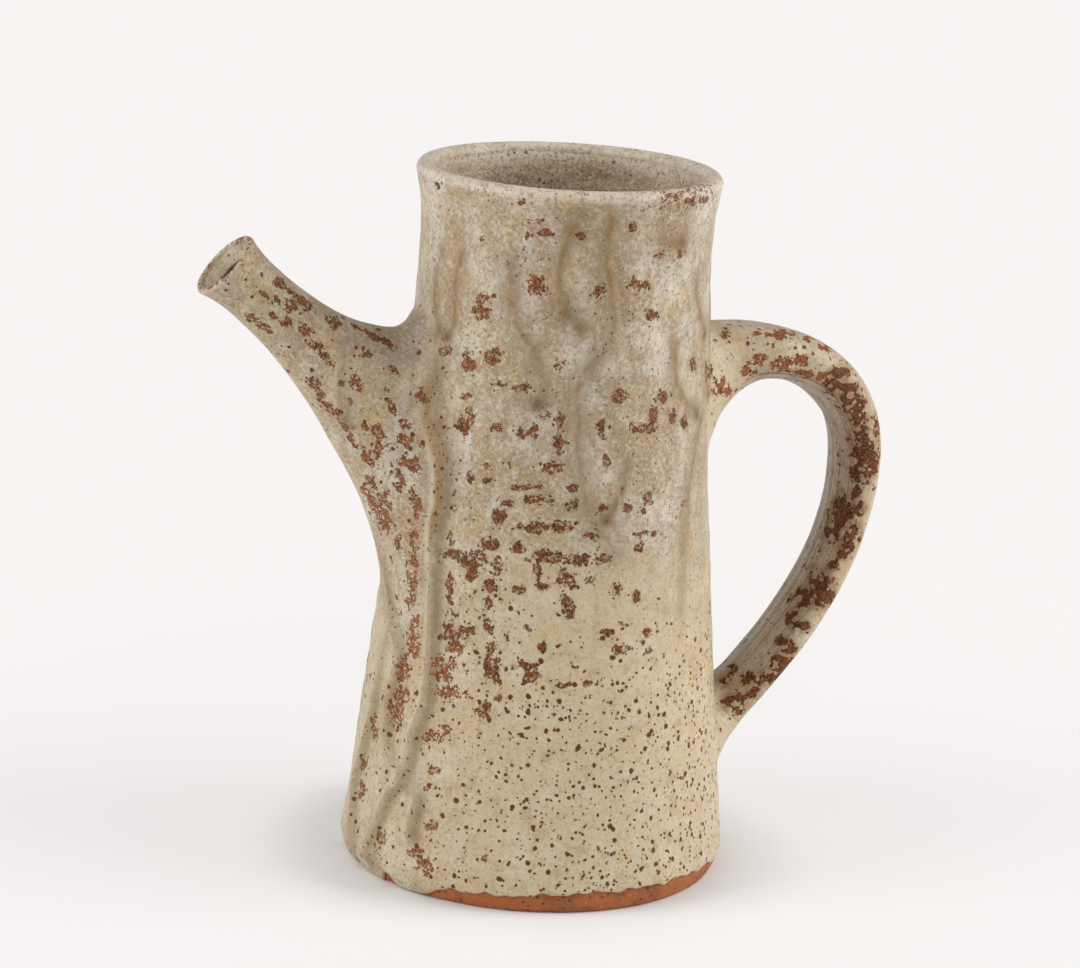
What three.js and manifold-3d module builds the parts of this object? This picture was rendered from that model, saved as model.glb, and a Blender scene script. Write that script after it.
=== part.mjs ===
// A wheel-thrown stoneware jug: a waisted body with a thrown spout and a pulled strap handle, each
// luted to the wall with slip, under an ash glaze that stops above the bare foot.
// Millimetres, +Z up. The origin is on the throwing axis, in the plane that the foot rests on.
// The spout points along -X and the handle along +X, so XZ is the jug's plane of symmetry.

import * as THREE from "three";
import { mergeVertices } from "three/addons/utils/BufferGeometryUtils.js";
import Module from "manifold-3d";

const wasm = await Module();
wasm.setup();

// Body: the bare clay, without its glaze
const jugHeight = 229.2; // top of the lip
const footRadius = 59; // flat face that the jug stands on
const baseRadius = 61.7; // widest place, just above the foot
const baseHeight = 8;
const drawInHeight = 150; // the straight taper would reach the neck's radius here
const neckRadius = 45.6; // narrowest place, below the flared rim
const neckDrop = 22; // from the lip down to the neck
const rimRadius = 47.8; // outside of the lip
const lipThickness = 3;
const baseWall = 6.5; // the wall thins evenly from here to the lip
const floorThickness = 7;
const floorCorner = 13; // throwing curve between floor and wall

// Spout
const spoutRootDrop = 87.8; // from the lip down to the middle of the saddle on the wall
const spoutRootTall = 76;
const spoutRootWide = 35;
const spoutReach = 63.2; // from the wall to the middle of the mouth, level
const spoutRise = 57.8; // from the middle of the saddle up to the middle of the mouth
const spoutPitch = 42.6; // the mouth faces this many degrees above level
const spoutCurl = 1.64; // how early the rings turn to face that way
const spoutArch = 0.9; // rise of the spout's middle line above a straight one
const spoutMouthRadius = 10.6;
const spoutThroatRadius = 8.9; // outside, at the narrowest place
const spoutThroatPlace = 0.87; // share of the way from the saddle to the mouth
const spoutFunnelPlace = 0.84; // the hollow widens to the mouth from here
const spoutTaper = 2.4; // how quickly the saddle narrows towards the throat
const spoutWall = 4.2;
const spoutLip = 1.6;
const spoutHoleTall = 34; // pierced through the body's wall
const spoutHoleWide = 22;

// Handle: a strap that bows out from the wall
const handleTopDrop = 63.7; // from the lip down to the middle of the upper joint
const handleBottomHeight = 37.3; // from the foot up to the middle of the lower joint
const handleBowDrop = 98; // from the lip down to where the strap stands furthest out
const handleStandoff = 57.3; // from the wall to the strap's middle there
const handleLift = 12; // how far the strap rises as it leaves the upper joint
const handleSlope = 46; // degrees below level at which it runs into the lower joint
const handleFullness = 0.61; // share of the way out that it keeps rising over
const handleShoulder = 0.83; // share of the way up from the bow that it stays upright
const handleHang = 0.41; // share of the way down from the bow that it stays upright
const handleRunIn = 0.4; // share of the way up from the lower joint that it stays straight
const strapWidth = 24;
const strapThickness = 9.3;
const strapTopThickness = 13.8; // at the top, easing to the above below the bow
const strapRootThickness = 18.4; // at the upper joint, easing to the top's
const strapSquareness = 2.7; // 2 is an ellipse, more is nearer to a rectangle

// Joints, slip and glaze
const spoutFlareOver = 5.6; // how far the top of the spout's root spreads over the wall
const spoutReachOver = 9.2; // how far from the wall it starts to spread
const spoutFlareUnder = 16.5; // the same two for its underside
const spoutReachUnder = 21;
const handleFlareOver = 1.5; // and for the handle's upper joint, tucked in above
const handleReachOver = 7;
const handleFlareUnder = 17; // and thumbed out below
const handleReachUnder = 24;
const handleFlareLow = 7.6; // and for its lower joint
const handleReachLow = 14.5;
const rootDepth = 14; // the roots are shaped this deep, then cut to the wall
const slipBed = 1.2; // between the wall and a root, with a bond on both faces
const bond = 0.3; // clearance between touching layers
const glazeThickness = 0.9;
const glazeOffset = bond + glazeThickness;
const slipMargin = 1; // the slip ends this far inside the root's edge
const wipeHeight = 6; // bare foot below the glaze
const wipeRipple = 0.8; // unevenness of the glaze's edge
const poolDrop = 4; // the pooled runs beside the spout carry the edge this far down
const poolAngle = 190; // degrees from the handle, anticlockwise from above
const poolSpread = 36; // degrees to each side
const runWidth = 4.6;
const runHeight = 0.9; // above the glaze around it
const runs = [
  // the places that each run passes: degrees from the handle, and share of the way up to the lip
  [[208, 0.62], [205, 0.5], [209, 0.36], [204, 0.17], [195, 0.1], [193, 0.05]],
  [[205, 0.18], [208, 0.13], [209, 0.08]],
  [[181, 0.41], [190, 0.31], [192, 0.21], [202, 0.16]],
  [[254, 0.95], [248, 0.88], [250, 0.83], [257, 0.81]],
  [[267, 0.95], [270, 0.85], [259, 0.75], [259, 0.62], [262, 0.56], [274, 0.5]],
  [[303, 0.74], [313, 0.67], [305, 0.52], [305, 0.41]],
];

// Fineness of the facets
const turnSteps = 36;
const spoutSides = 18;
const strapSides = 14;
const strapSteps = 21;
const runSides = 5;
const runStep = 9; // distance along a run between its rings
const weld = 1e-4;

const lipRadius = lipThickness / 2;
const lipHeight = jugHeight - lipRadius;
const neckHeight = jugHeight - neckDrop;
const spoutRootHeight = jugHeight - spoutRootDrop;
const handleTopHeight = jugHeight - handleTopDrop;
const handleBowHeight = jugHeight - handleBowDrop;
const degree = Math.PI / 180;
const flat = (x, y) => new THREE.Vector2(x, y);

// The clay's outline, from the foot over the lip and down to the middle of the floor
const footEdge = new THREE.QuadraticBezierCurve(
  flat(footRadius, 0),
  flat(baseRadius, 0),
  flat(baseRadius, baseHeight),
).getPoints(3);
const taper = new THREE.QuadraticBezierCurve(
  flat(baseRadius, baseHeight),
  flat(neckRadius, drawInHeight),
  flat(neckRadius, neckHeight),
).getPoints(7);
const rimFlare = new THREE.QuadraticBezierCurve(
  flat(neckRadius, neckHeight),
  flat(neckRadius, (neckHeight + lipHeight) / 2),
  flat(rimRadius, lipHeight),
).getPoints(3);
const outside = [...footEdge, ...taper.slice(1), ...rimFlare.slice(1)];

// Radius of the clay's outside at a height
function wallRadius(height) {
  const above = outside.findIndex((point) => point.y >= height);
  if (above < 1) return above === 0 ? footRadius : rimRadius;
  const [low, high] = [outside[above - 1], outside[above]];
  const share = (height - low.y) / (high.y - low.y);
  return THREE.MathUtils.lerp(low.x, high.x, share);
}

// The wall thins evenly from the floor to the lip
function insideRadius(height) {
  const share = (height - floorThickness) / (lipHeight - floorThickness);
  return wallRadius(height) - THREE.MathUtils.lerp(baseWall, lipThickness, share);
}

// Part of the lip's half round, between two angles
function lipArc(from, to, steps) {
  const points = [];
  for (let step = 0; step <= steps; step += 1) {
    const angle = THREE.MathUtils.lerp(from, to, step / steps);
    const out = Math.cos(angle) * lipRadius;
    points.push(flat(rimRadius - lipRadius + out, lipHeight + Math.sin(angle) * lipRadius));
  }
  return points;
}

const glazeSeam = bond / 2 / (lipRadius + glazeOffset); // half the gap on the lip's crown
const crown = Math.PI / 2;
const outerLip = lipArc(0, crown - glazeSeam, 3);
const innerLip = lipArc(crown + glazeSeam, Math.PI, 3);

function insideOutline() {
  const cornerHeight = floorThickness + floorCorner;
  const rows = 6;
  const wall = [];
  for (let row = 1; row <= rows; row += 1) {
    const height = THREE.MathUtils.lerp(lipHeight, cornerHeight, row / rows);
    wall.push(flat(insideRadius(height), height));
  }
  const foot = wall[rows - 1];
  const corner = new THREE.QuadraticBezierCurve(
    foot,
    flat(foot.x, floorThickness),
    flat(foot.x - floorCorner, floorThickness),
  ).getPoints(3);
  return [...innerLip, ...wall, ...corner.slice(1), flat(0, floorThickness)];
}

const outsideAndLip = [...outside, ...outerLip.slice(1)];
const inside = insideOutline();
const outline = [...outsideAndLip, ...inside];

// The same line moved off the clay by a distance; the last point stays on the axis
function offClay(line, distance) {
  return line.map((point) => {
    const place = outline.indexOf(point);
    const before = outline[Math.max(place - 1, 0)];
    const after = outline[Math.min(place + 1, outline.length - 1)];
    const along = after.clone().sub(before).normalize();
    return flat(point.x + along.y * distance, point.y - along.x * distance);
  });
}

function turned(profile) {
  return new THREE.LatheGeometry(profile, turnSteps).rotateX(Math.PI / 2);
}

function solid(geometry) {
  const bare = geometry.clone();
  bare.deleteAttribute("normal");
  bare.deleteAttribute("uv");
  const joined = mergeVertices(bare, weld);
  const mesh = new wasm.Mesh({
    numProp: 3,
    vertProperties: joined.attributes.position.array,
    triVerts: new Uint32Array(joined.index.array),
  });
  return new wasm.Manifold(mesh);
}

// Everything inside the clay's outside face, moved off it by a distance
function filledBody(distance) {
  const face = offClay(outsideAndLip, distance);
  const top = face[face.length - 1].y;
  return solid(turned([flat(0, 0), flat(face[0].x, 0), ...face.slice(1), flat(0, top)]));
}

// A layer of glaze on part of the outline that doesn't reach the axis
function outerCoat() {
  const face = offClay(outsideAndLip.slice(1), glazeOffset);
  const back = offClay(outsideAndLip.slice(1), bond).reverse();
  return solid(turned([...face, ...back, face[0]]));
}

// The layer of glaze inside, from the lip to the middle of the floor
function innerCoat() {
  const back = offClay(inside, bond).reverse();
  const face = offClay(inside, glazeOffset);
  return solid(turned([...back, ...face]));
}

// A closed skin through rings of points, with flat ends
function loft(rings) {
  const sides = rings[0].length;
  const last = (rings.length - 1) * sides;
  const faces = [];
  for (let ring = 0; ring < last; ring += sides) {
    for (let side = 0; side < sides; side += 1) {
      const next = (side + 1) % sides;
      faces.push(ring + side, ring + next, ring + sides + next);
      faces.push(ring + side, ring + sides + next, ring + sides + side);
    }
  }
  for (let side = 1; side + 1 < sides; side += 1) {
    faces.push(0, side + 1, side);
    faces.push(last, last + side, last + side + 1);
  }
  const skin = new THREE.BufferGeometry().setFromPoints(rings.flat());
  return skin.setIndex(faces);
}

// Spreads a root over the wall: a point near the wall moves away from the middle of its ring
function spreadAtWall(point, middle, flare, reach) {
  const fromWall = Math.hypot(point.x, point.y) - wallRadius(point.z);
  const near = THREE.MathUtils.clamp(1 - fromWall / reach, 0, 1);
  const away = point.clone().sub(middle).setLength(flare * near * near);
  return point.clone().add(away);
}

// Where the spout's saddle and mouth are, in the XZ plane
const saddle = new THREE.Vector3(-wallRadius(spoutRootHeight), 0, spoutRootHeight);
const mouth = saddle.clone().add(new THREE.Vector3(-spoutReach, 0, spoutRise));
const spoutLength = saddle.distanceTo(mouth);

// Half of the spout's height or width, from the saddle at 0 to the mouth at 1
function spoutHalf(place, atRoot) {
  if (place < spoutThroatPlace) {
    const back = 1 - Math.max(place, 0) / spoutThroatPlace;
    return spoutThroatRadius + (atRoot - spoutThroatRadius) * back ** spoutTaper;
  }
  const on = (place - spoutThroatPlace) / (1 - spoutThroatPlace);
  return spoutThroatRadius + (spoutMouthRadius - spoutThroatRadius) * on * on;
}

// The wall of the spout thins to its lip over the funnel
function spoutWallAt(place) {
  const on = THREE.MathUtils.smoothstep(place, spoutFunnelPlace, 1);
  return THREE.MathUtils.lerp(spoutWall, spoutLip, on);
}

// One ring of the spout; its plane is upright at the saddle and square to the mouth's way at the mouth
function spoutRing(place, grow, spread) {
  const along = THREE.MathUtils.clamp(place, 0, 1);
  const tilt = spoutPitch * (1 - (1 - along) ** spoutCurl) * degree;
  const facing = new THREE.Vector3(-Math.cos(tilt), 0, Math.sin(tilt));
  const up = new THREE.Vector3(Math.sin(tilt), 0, Math.cos(tilt));
  const middle = saddle.clone().lerp(mouth, along);
  middle.z += spoutArch * Math.sin(Math.PI * along);
  if (place < 0) middle.x -= place * spoutLength;
  if (place > 1) middle.addScaledVector(facing, (place - 1) * spoutLength);
  const tall = spoutHalf(along, spoutRootTall / 2) + grow;
  const wide = spoutHalf(along, spoutRootWide / 2) + grow;
  const ring = [];
  for (let side = 0; side < spoutSides; side += 1) {
    const angle = (side / spoutSides) * 2 * Math.PI;
    const point = middle.clone().addScaledVector(up, Math.cos(angle) * tall);
    point.y += Math.sin(angle) * wide;
    const under = (1 - Math.cos(angle)) / 2;
    const flare = THREE.MathUtils.lerp(spoutFlareOver, spoutFlareUnder, under);
    const reach = THREE.MathUtils.lerp(spoutReachOver, spoutReachUnder, under);
    ring.push(spread ? spreadAtWall(point, middle, flare, reach) : point);
  }
  return ring;
}

const spoutPlaces = [-rootDepth / spoutLength, -0.06, 0, 0.07, 0.15, 0.27, 0.43, 0.63, 0.84, 0.93];

// The spout's outside as a filled cone, grown by a distance
function filledSpout(grow) {
  const rings = spoutPlaces.map((place) => spoutRing(place, grow, true));
  const lip = 1 + grow / spoutLength;
  rings.push(spoutRing(lip - spoutLip / 2 / spoutLength, grow, false));
  rings.push(spoutRing(lip, grow - spoutLip / 2, false));
  return solid(loft(rings));
}

// The hollow inside the spout, open past the mouth
function spoutHollow(grow) {
  const places = [...spoutPlaces, 1, 1 + spoutWall / spoutLength];
  return solid(loft(places.map((place) => spoutRing(place, grow - spoutWallAt(place), false))));
}

// The hole through the body's wall behind the spout
function spoutHole() {
  const ring = (x) => {
    const points = [];
    for (let side = 0; side < spoutSides; side += 1) {
      const angle = (side / spoutSides) * 2 * Math.PI;
      const y = (Math.sin(angle) * spoutHoleWide) / 2;
      points.push(new THREE.Vector3(x, y, spoutRootHeight + (Math.cos(angle) * spoutHoleTall) / 2));
    }
    return points;
  };
  const reach = baseWall + glazeOffset + rootDepth;
  return solid(loft([ring(saddle.x + reach), ring(saddle.x - reach)]));
}

// The strap's middle line, in two bows that meet where it stands furthest out
function strapPath() {
  const bowOut = wallRadius(handleBowHeight) + handleStandoff;
  const top = new THREE.Vector3(wallRadius(handleTopHeight) - rootDepth / 4, 0, handleTopHeight);
  const bottom = new THREE.Vector3(wallRadius(handleBottomHeight) - rootDepth / 4, 0, handleBottomHeight);
  const bow = new THREE.Vector3(bowOut, 0, handleBowHeight);
  const out = bowOut - top.x;
  const drop = handleBowHeight - handleBottomHeight;
  const slope = handleSlope * degree;
  const runIn = new THREE.Vector3(Math.cos(slope), 0, Math.sin(slope)).multiplyScalar(drop * handleRunIn);
  const path = new THREE.CurvePath();
  path.add(
    new THREE.CubicBezierCurve3(
      top,
      new THREE.Vector3(top.x + out * handleFullness, 0, handleTopHeight + handleLift),
      new THREE.Vector3(bowOut, 0, handleBowHeight + (handleTopHeight - handleBowHeight) * handleShoulder),
      bow,
    ),
  );
  path.add(
    new THREE.CubicBezierCurve3(
      bow,
      new THREE.Vector3(bowOut, 0, handleBowHeight - drop * handleHang),
      bottom.clone().add(runIn),
      bottom,
    ),
  );
  return path;
}

const strap = strapPath();

// How far a side of the strap spreads over the wall at the nearer joint, and from how far off
function strapFlare(place, outward) {
  if (place > 0.5) return [handleFlareLow, handleReachLow];
  const over = (1 + outward) / 2;
  const flare = THREE.MathUtils.lerp(handleFlareUnder, handleFlareOver, over);
  const reach = THREE.MathUtils.lerp(handleReachUnder, handleReachOver, over);
  return [flare * (0.62 + 0.38 * Math.abs(outward)), reach];
}

// One rounded section of the strap, square to its path
function strapRing(place, middle, along, grow) {
  const atRoot = THREE.MathUtils.smoothstep(place, 0, 0.17);
  const below = THREE.MathUtils.smoothstep(place, 0.14, 0.75);
  const root = THREE.MathUtils.lerp(strapRootThickness - strapTopThickness, 0, atRoot);
  const thick = (THREE.MathUtils.lerp(strapTopThickness, strapThickness, below) + root) / 2 + grow;
  const wide = strapWidth / 2 + grow;
  const out = new THREE.Vector3(along.z, 0, -along.x);
  const round = (value) => Math.sign(value) * Math.abs(value) ** (2 / strapSquareness);
  const ring = [];
  for (let side = 0; side < strapSides; side += 1) {
    const angle = (side / strapSides) * 2 * Math.PI;
    const point = middle.clone().addScaledVector(out, round(Math.cos(angle)) * thick);
    point.y += round(Math.sin(angle)) * wide;
    const [flare, reach] = strapFlare(place, Math.cos(angle));
    ring.push(spreadAtWall(point, middle, flare, reach));
  }
  return ring;
}

// The strap as one solid, run on into the wall at both ends and grown by a distance
function filledStrap(grow) {
  const rings = [];
  for (let step = 0; step <= strapSteps; step += 1) {
    const place = step / strapSteps;
    rings.push(strapRing(place, strap.getPoint(place), strap.getTangent(place), grow));
  }
  const runOn = (place, sign) => {
    const along = strap.getTangent(place);
    const middle = strap.getPoint(place).addScaledVector(along, sign * rootDepth);
    return strapRing(place, middle, along, grow);
  };
  return solid(loft([runOn(0, -1), ...rings, runOn(1, 1)]));
}

// A point at a distance off the body's clay
function offWall(angle, height, distance) {
  const radius = wallRadius(height) + distance;
  return new THREE.Vector3(Math.cos(angle * degree) * radius, Math.sin(angle * degree) * radius, height);
}

// A thick run of glaze: a low half-round ridge along a line on the wall, footed inside the coat
function glazeRun(places) {
  const line = new THREE.SplineCurve(places.map(([angle, share]) => flat(angle, share * jugHeight)));
  const steps = Math.ceil((line.getPoint(0).y - line.getPoint(1).y) / runStep) + 2;
  const rings = [];
  for (let step = 0; step <= steps; step += 1) {
    const place = line.getPoint(step / steps);
    const middle = offWall(place.x, place.y, bond + glazeThickness / 2);
    const out = new THREE.Vector3(middle.x, middle.y, 0).normalize();
    const ahead = line.getPoint(Math.min((step + 1) / steps, 1));
    const behind = line.getPoint(Math.max((step - 1) / steps, 0));
    const along = offWall(ahead.x, ahead.y, bond).sub(offWall(behind.x, behind.y, bond));
    const across = out.clone().cross(along).normalize();
    const full = step === 0 || step === steps ? 0.35 : 1;
    const ring = [];
    for (let side = 0; side <= runSides; side += 1) {
      const angle = (side / runSides) * Math.PI;
      const rise = Math.sin(angle) * (glazeThickness / 2 + runHeight * full);
      const aside = (Math.cos(angle) * full * runWidth) / 2;
      ring.push(middle.clone().addScaledVector(out, rise).addScaledVector(across, aside));
    }
    rings.push(ring);
  }
  return solid(loft(rings));
}

// The foot is wiped clean of glaze up to an uneven line, which the pooled runs carry down
function wipedFoot() {
  const rim = (height) => {
    const points = [];
    for (let step = 0; step < turnSteps; step += 1) {
      const angle = (step / turnSteps) * 2 * Math.PI;
      const out = baseRadius + 4 * glazeOffset;
      points.push(new THREE.Vector3(Math.cos(angle) * out, Math.sin(angle) * out, height(angle)));
    }
    return points;
  };
  const line = (angle) => {
    const fromPool = THREE.MathUtils.euclideanModulo(angle / degree - poolAngle + 180, 360) - 180;
    const pool = poolDrop * Math.exp(-((fromPool / poolSpread) ** 4));
    return wipeHeight + wipeRipple * (Math.sin(3 * angle) + Math.sin(7 * angle + 1)) / 2 - pool;
  };
  return solid(loft([rim(() => -baseHeight), rim(line)]));
}

const stoneware = new THREE.MeshStandardMaterial({ color: 0xb0663a, roughness: 0.85, metalness: 0 });
const slip = new THREE.MeshStandardMaterial({ color: 0x9a6645, roughness: 0.9, metalness: 0 });
const ashGlaze = new THREE.MeshStandardMaterial({ color: 0xc9bfa4, roughness: 0.4, metalness: 0 });
const linerGlaze = new THREE.MeshStandardMaterial({ color: 0xa8977f, roughness: 0.45, metalness: 0 });

function piece(name, made, material) {
  const mesh = made.getMesh();
  const geometry = new THREE.BufferGeometry();
  geometry.setAttribute("position", new THREE.BufferAttribute(mesh.vertProperties, 3));
  geometry.setIndex(new THREE.BufferAttribute(mesh.triVerts, 1));
  geometry.computeVertexNormals();
  const shown = new THREE.Mesh(geometry, material);
  shown.name = name;
  return shown;
}

const hole = spoutHole();
const rootCut = filledBody(slipBed); // the roots stop here, on the slip
const coatCut = filledBody(glazeOffset + bond); // the roots' glaze stops here, on the body's
const slipLayer = filledBody(slipBed - bond).subtract(filledBody(bond));
const hollow = spoutHollow(0);

const body = solid(turned([flat(0, 0), ...outline])).subtract(hole);
const spout = filledSpout(0).subtract(hollow).subtract(rootCut);
const handle = filledStrap(0).subtract(rootCut);

const spoutSlip = slipLayer.intersect(filledSpout(-slipMargin)).subtract(spoutHollow(slipMargin));
const strapSlip = slipLayer.intersect(filledStrap(-slipMargin));
const upperHalf = solid(
  new THREE.BoxGeometry(jugHeight, jugHeight, jugHeight).translate(0, 0, handleBowHeight / 2 + jugHeight / 2),
);
const upperSlip = strapSlip.intersect(upperHalf);
const lowerSlip = strapSlip.subtract(upperHalf);

const spoutCore = filledSpout(bond).subtract(spoutHollow(-bond));
const spoutGlaze = filledSpout(glazeOffset)
  .subtract(spoutHollow(-glazeOffset))
  .subtract(spoutCore)
  .subtract(coatCut);
const handleGlaze = filledStrap(glazeOffset).subtract(filledStrap(bond)).subtract(coatCut);
const ridges = runs
  .map(glazeRun)
  .reduce((joined, run) => joined.add(run))
  .subtract(filledSpout(glazeOffset + bond))
  .subtract(filledStrap(glazeOffset + bond));
const bodyGlaze = outerCoat()
  .add(ridges)
  .subtract(wipedFoot())
  .subtract(filledSpout(bond))
  .subtract(filledStrap(bond));
const liner = innerCoat().subtract(hole);

const clay = new THREE.Group();
clay.add(piece("body", body, stoneware));
clay.add(piece("spout", spout, stoneware));
clay.add(piece("handle", handle, stoneware));

const luting = new THREE.Group();
luting.add(piece("spout_slip", spoutSlip, slip));
luting.add(piece("handle_upper_slip", upperSlip, slip));
luting.add(piece("handle_lower_slip", lowerSlip, slip));

const glazing = new THREE.Group();
glazing.add(piece("body_glaze", bodyGlaze, ashGlaze));
glazing.add(piece("spout_glaze", spoutGlaze, ashGlaze));
glazing.add(piece("handle_glaze", handleGlaze, ashGlaze));
glazing.add(piece("liner_glaze", liner, linerGlaze));

const jug = new THREE.Group();
jug.add(clay, luting, glazing);

export default jug;
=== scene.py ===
import math

import bmesh
import bpy
import numpy as np
from mathutils import Matrix, Vector


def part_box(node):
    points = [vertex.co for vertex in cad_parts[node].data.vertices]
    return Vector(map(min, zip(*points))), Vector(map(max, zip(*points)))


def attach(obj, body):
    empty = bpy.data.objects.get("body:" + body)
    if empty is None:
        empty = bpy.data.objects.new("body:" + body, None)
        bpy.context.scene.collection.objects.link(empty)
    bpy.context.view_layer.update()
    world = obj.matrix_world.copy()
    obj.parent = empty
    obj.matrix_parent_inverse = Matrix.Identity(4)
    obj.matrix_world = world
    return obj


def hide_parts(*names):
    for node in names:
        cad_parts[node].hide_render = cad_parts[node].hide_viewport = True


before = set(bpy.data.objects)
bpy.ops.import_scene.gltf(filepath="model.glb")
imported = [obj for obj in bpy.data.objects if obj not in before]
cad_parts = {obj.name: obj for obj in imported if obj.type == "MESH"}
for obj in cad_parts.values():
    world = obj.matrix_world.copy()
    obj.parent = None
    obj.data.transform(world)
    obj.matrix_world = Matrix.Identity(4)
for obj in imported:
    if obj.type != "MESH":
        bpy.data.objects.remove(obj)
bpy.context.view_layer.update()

mm = 0.001
print("frame loaded,", len(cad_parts), "nodes")

# the thrown body, in millimetres; height and base come from the packed clay
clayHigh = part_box("body")[1]
thrown = {
    "jugHeight": clayHigh.z / mm,
    "footRadius": 59.0,
    "baseRadius": clayHigh.x / mm,
    "baseHeight": 8.0,
    "drawInHeight": 150.0,
    "neckRadius": 45.6,
    "neckDrop": 22.0,
    "rimRadius": 47.8,
    "lipThickness": 3.0,
    "baseWall": 6.5,
    "floorThickness": 7.0,
    "floorCorner": 13.0,
    "bond": 0.3,
    "glaze": 0.9,
    "holeTall": 34.0,
    "holeWide": 22.0,
    "holeStart": 30.0,
    "holeDepth": 27.0,
}
glazeOffset = thrown["bond"] + thrown["glaze"]
lipRadius = thrown["lipThickness"] / 2
lipHeight = thrown["jugHeight"] - lipRadius
lipMiddle = thrown["rimRadius"] - lipRadius
neckHeight = thrown["jugHeight"] - thrown["neckDrop"]


def bezier(points, count):
    t = np.linspace(0, 1, count)[:, None]
    points = [np.array(p, float) for p in points]
    while len(points) > 1:
        points = [a * (1 - t) + b * t for a, b in zip(points, points[1:])]
    return points[0]


def smooth(value, low, high):
    t = np.clip((value - low) / (high - low), 0, 1)
    return t * t * (3 - 2 * t)


def roundAxis(places):
    # degrees round the throwing axis from the handle, and distance from that axis
    return np.degrees(np.arctan2(places[:, 1], places[:, 0])) % 360, np.hypot(places[:, 0], places[:, 1])


def turnFrom(angle, start):
    return (angle - start + 180) % 360 - 180


# the clay's outside from foot to lip: rounded foot, drawn-in taper, flared rim
footEdge = bezier(
    [(thrown["footRadius"], 0), (thrown["baseRadius"], 0), (thrown["baseRadius"], thrown["baseHeight"])], 12
)
taper = bezier(
    [
        (thrown["baseRadius"], thrown["baseHeight"]),
        (thrown["neckRadius"], thrown["drawInHeight"]),
        (thrown["neckRadius"], neckHeight),
    ],
    120,
)
rimFlare = bezier(
    [
        (thrown["neckRadius"], neckHeight),
        (thrown["neckRadius"], (neckHeight + lipHeight) / 2),
        (thrown["rimRadius"], lipHeight),
    ],
    24,
)
outsideLine = np.concatenate([footEdge, taper[1:], rimFlare[1:]])


def clayRadius(z):
    return np.interp(z, outsideLine[:, 1], outsideLine[:, 0])


def glazedRadius(z):
    return clayRadius(z) + glazeOffset


def insideRadius(z):
    share = (z - thrown["floorThickness"]) / (lipHeight - thrown["floorThickness"])
    return clayRadius(z) - (thrown["baseWall"] + (thrown["lipThickness"] - thrown["baseWall"]) * share)


# the photographed view: turned 20 degrees from the jug's own plane, with a slight roll
view = {
    "turn": -20.0,
    "pitch": 14.2,
    "roll": 3.33,
    "eye": (-410.3, -1116.2, 426.3),
    "focalPixels": 3770.0,
    "photoWidth": 1080,
    "photoHeight": 968,
    "sensor": 36.0,
    "pixelsPerMm": 3.17,
    "searched": (1080, 1300),  # how far from the eye the wall is looked for, in millimetres
    "searchSteps": 4401,
}


def makeCamera():
    data = bpy.data.cameras.new("camera")
    data.sensor_width = view["sensor"]
    data.lens = view["focalPixels"] / view["photoWidth"] * view["sensor"]
    data.clip_start, data.clip_end = 0.05, 20
    turned = (
        Matrix.Rotation(math.radians(view["turn"]), 4, "Z")
        @ Matrix.Rotation(math.radians(90 - view["pitch"]), 4, "X")
        @ Matrix.Rotation(math.radians(view["roll"]), 4, "Z")
    )
    camera = bpy.data.objects.new("camera", data)
    camera.matrix_world = Matrix.Translation(Vector(view["eye"]) * mm) @ turned
    bpy.context.scene.collection.objects.link(camera)
    bpy.context.scene.camera = camera
    return np.array(turned.to_3x3())


cameraAxes = makeCamera()
print("camera made")


def photoPlaces(places):
    # pixel column and row of each place in the photographed view
    seen = (places - np.array(view["eye"])) @ cameraAxes
    across = seen[:, 0] / -seen[:, 2] * view["focalPixels"]
    up = seen[:, 1] / -seen[:, 2] * view["focalPixels"]
    return view["photoWidth"] / 2 + across, view["photoHeight"] / 2 - up


def wallPlace(px, py, lift=0):
    # where a pixel of that view lies over the wall: degrees round from the handle, and height
    across = (px - view["photoWidth"] / 2) / view["focalPixels"]
    up = (view["photoHeight"] / 2 - py) / view["focalPixels"]
    ray = cameraAxes @ np.array([across, up, -1])
    places = np.array(view["eye"]) + ray * np.linspace(*view["searched"], view["searchSteps"])[:, None]
    out = np.hypot(places[:, 0], places[:, 1]) - glazedRadius(places[:, 2]) - lift
    hit = places[np.argmax(out < 0)] if (out < 0).any() else places[np.argmin(out)]
    return math.degrees(math.atan2(hit[1], hit[0])) % 360, hit[2]


# chance in the surface: smooth value noise from a seeded lattice
lattice = np.random.default_rng(7).random((32, 32, 32))


def noiseAt(places, size, shift=0):
    p = places / size + shift
    cell = np.floor(p).astype(int)
    f = p - cell
    f = f * f * (3 - 2 * f)
    total = np.zeros(len(places))
    for corner in range(8):
        step = np.array([corner & 1, corner >> 1 & 1, corner >> 2 & 1])
        at = (cell + step) % 32
        weight = np.prod(np.where(step, f, 1 - f), axis=1)
        total += lattice[at[:, 0], at[:, 1], at[:, 2]] * weight
    return total * 2 - 1


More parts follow.
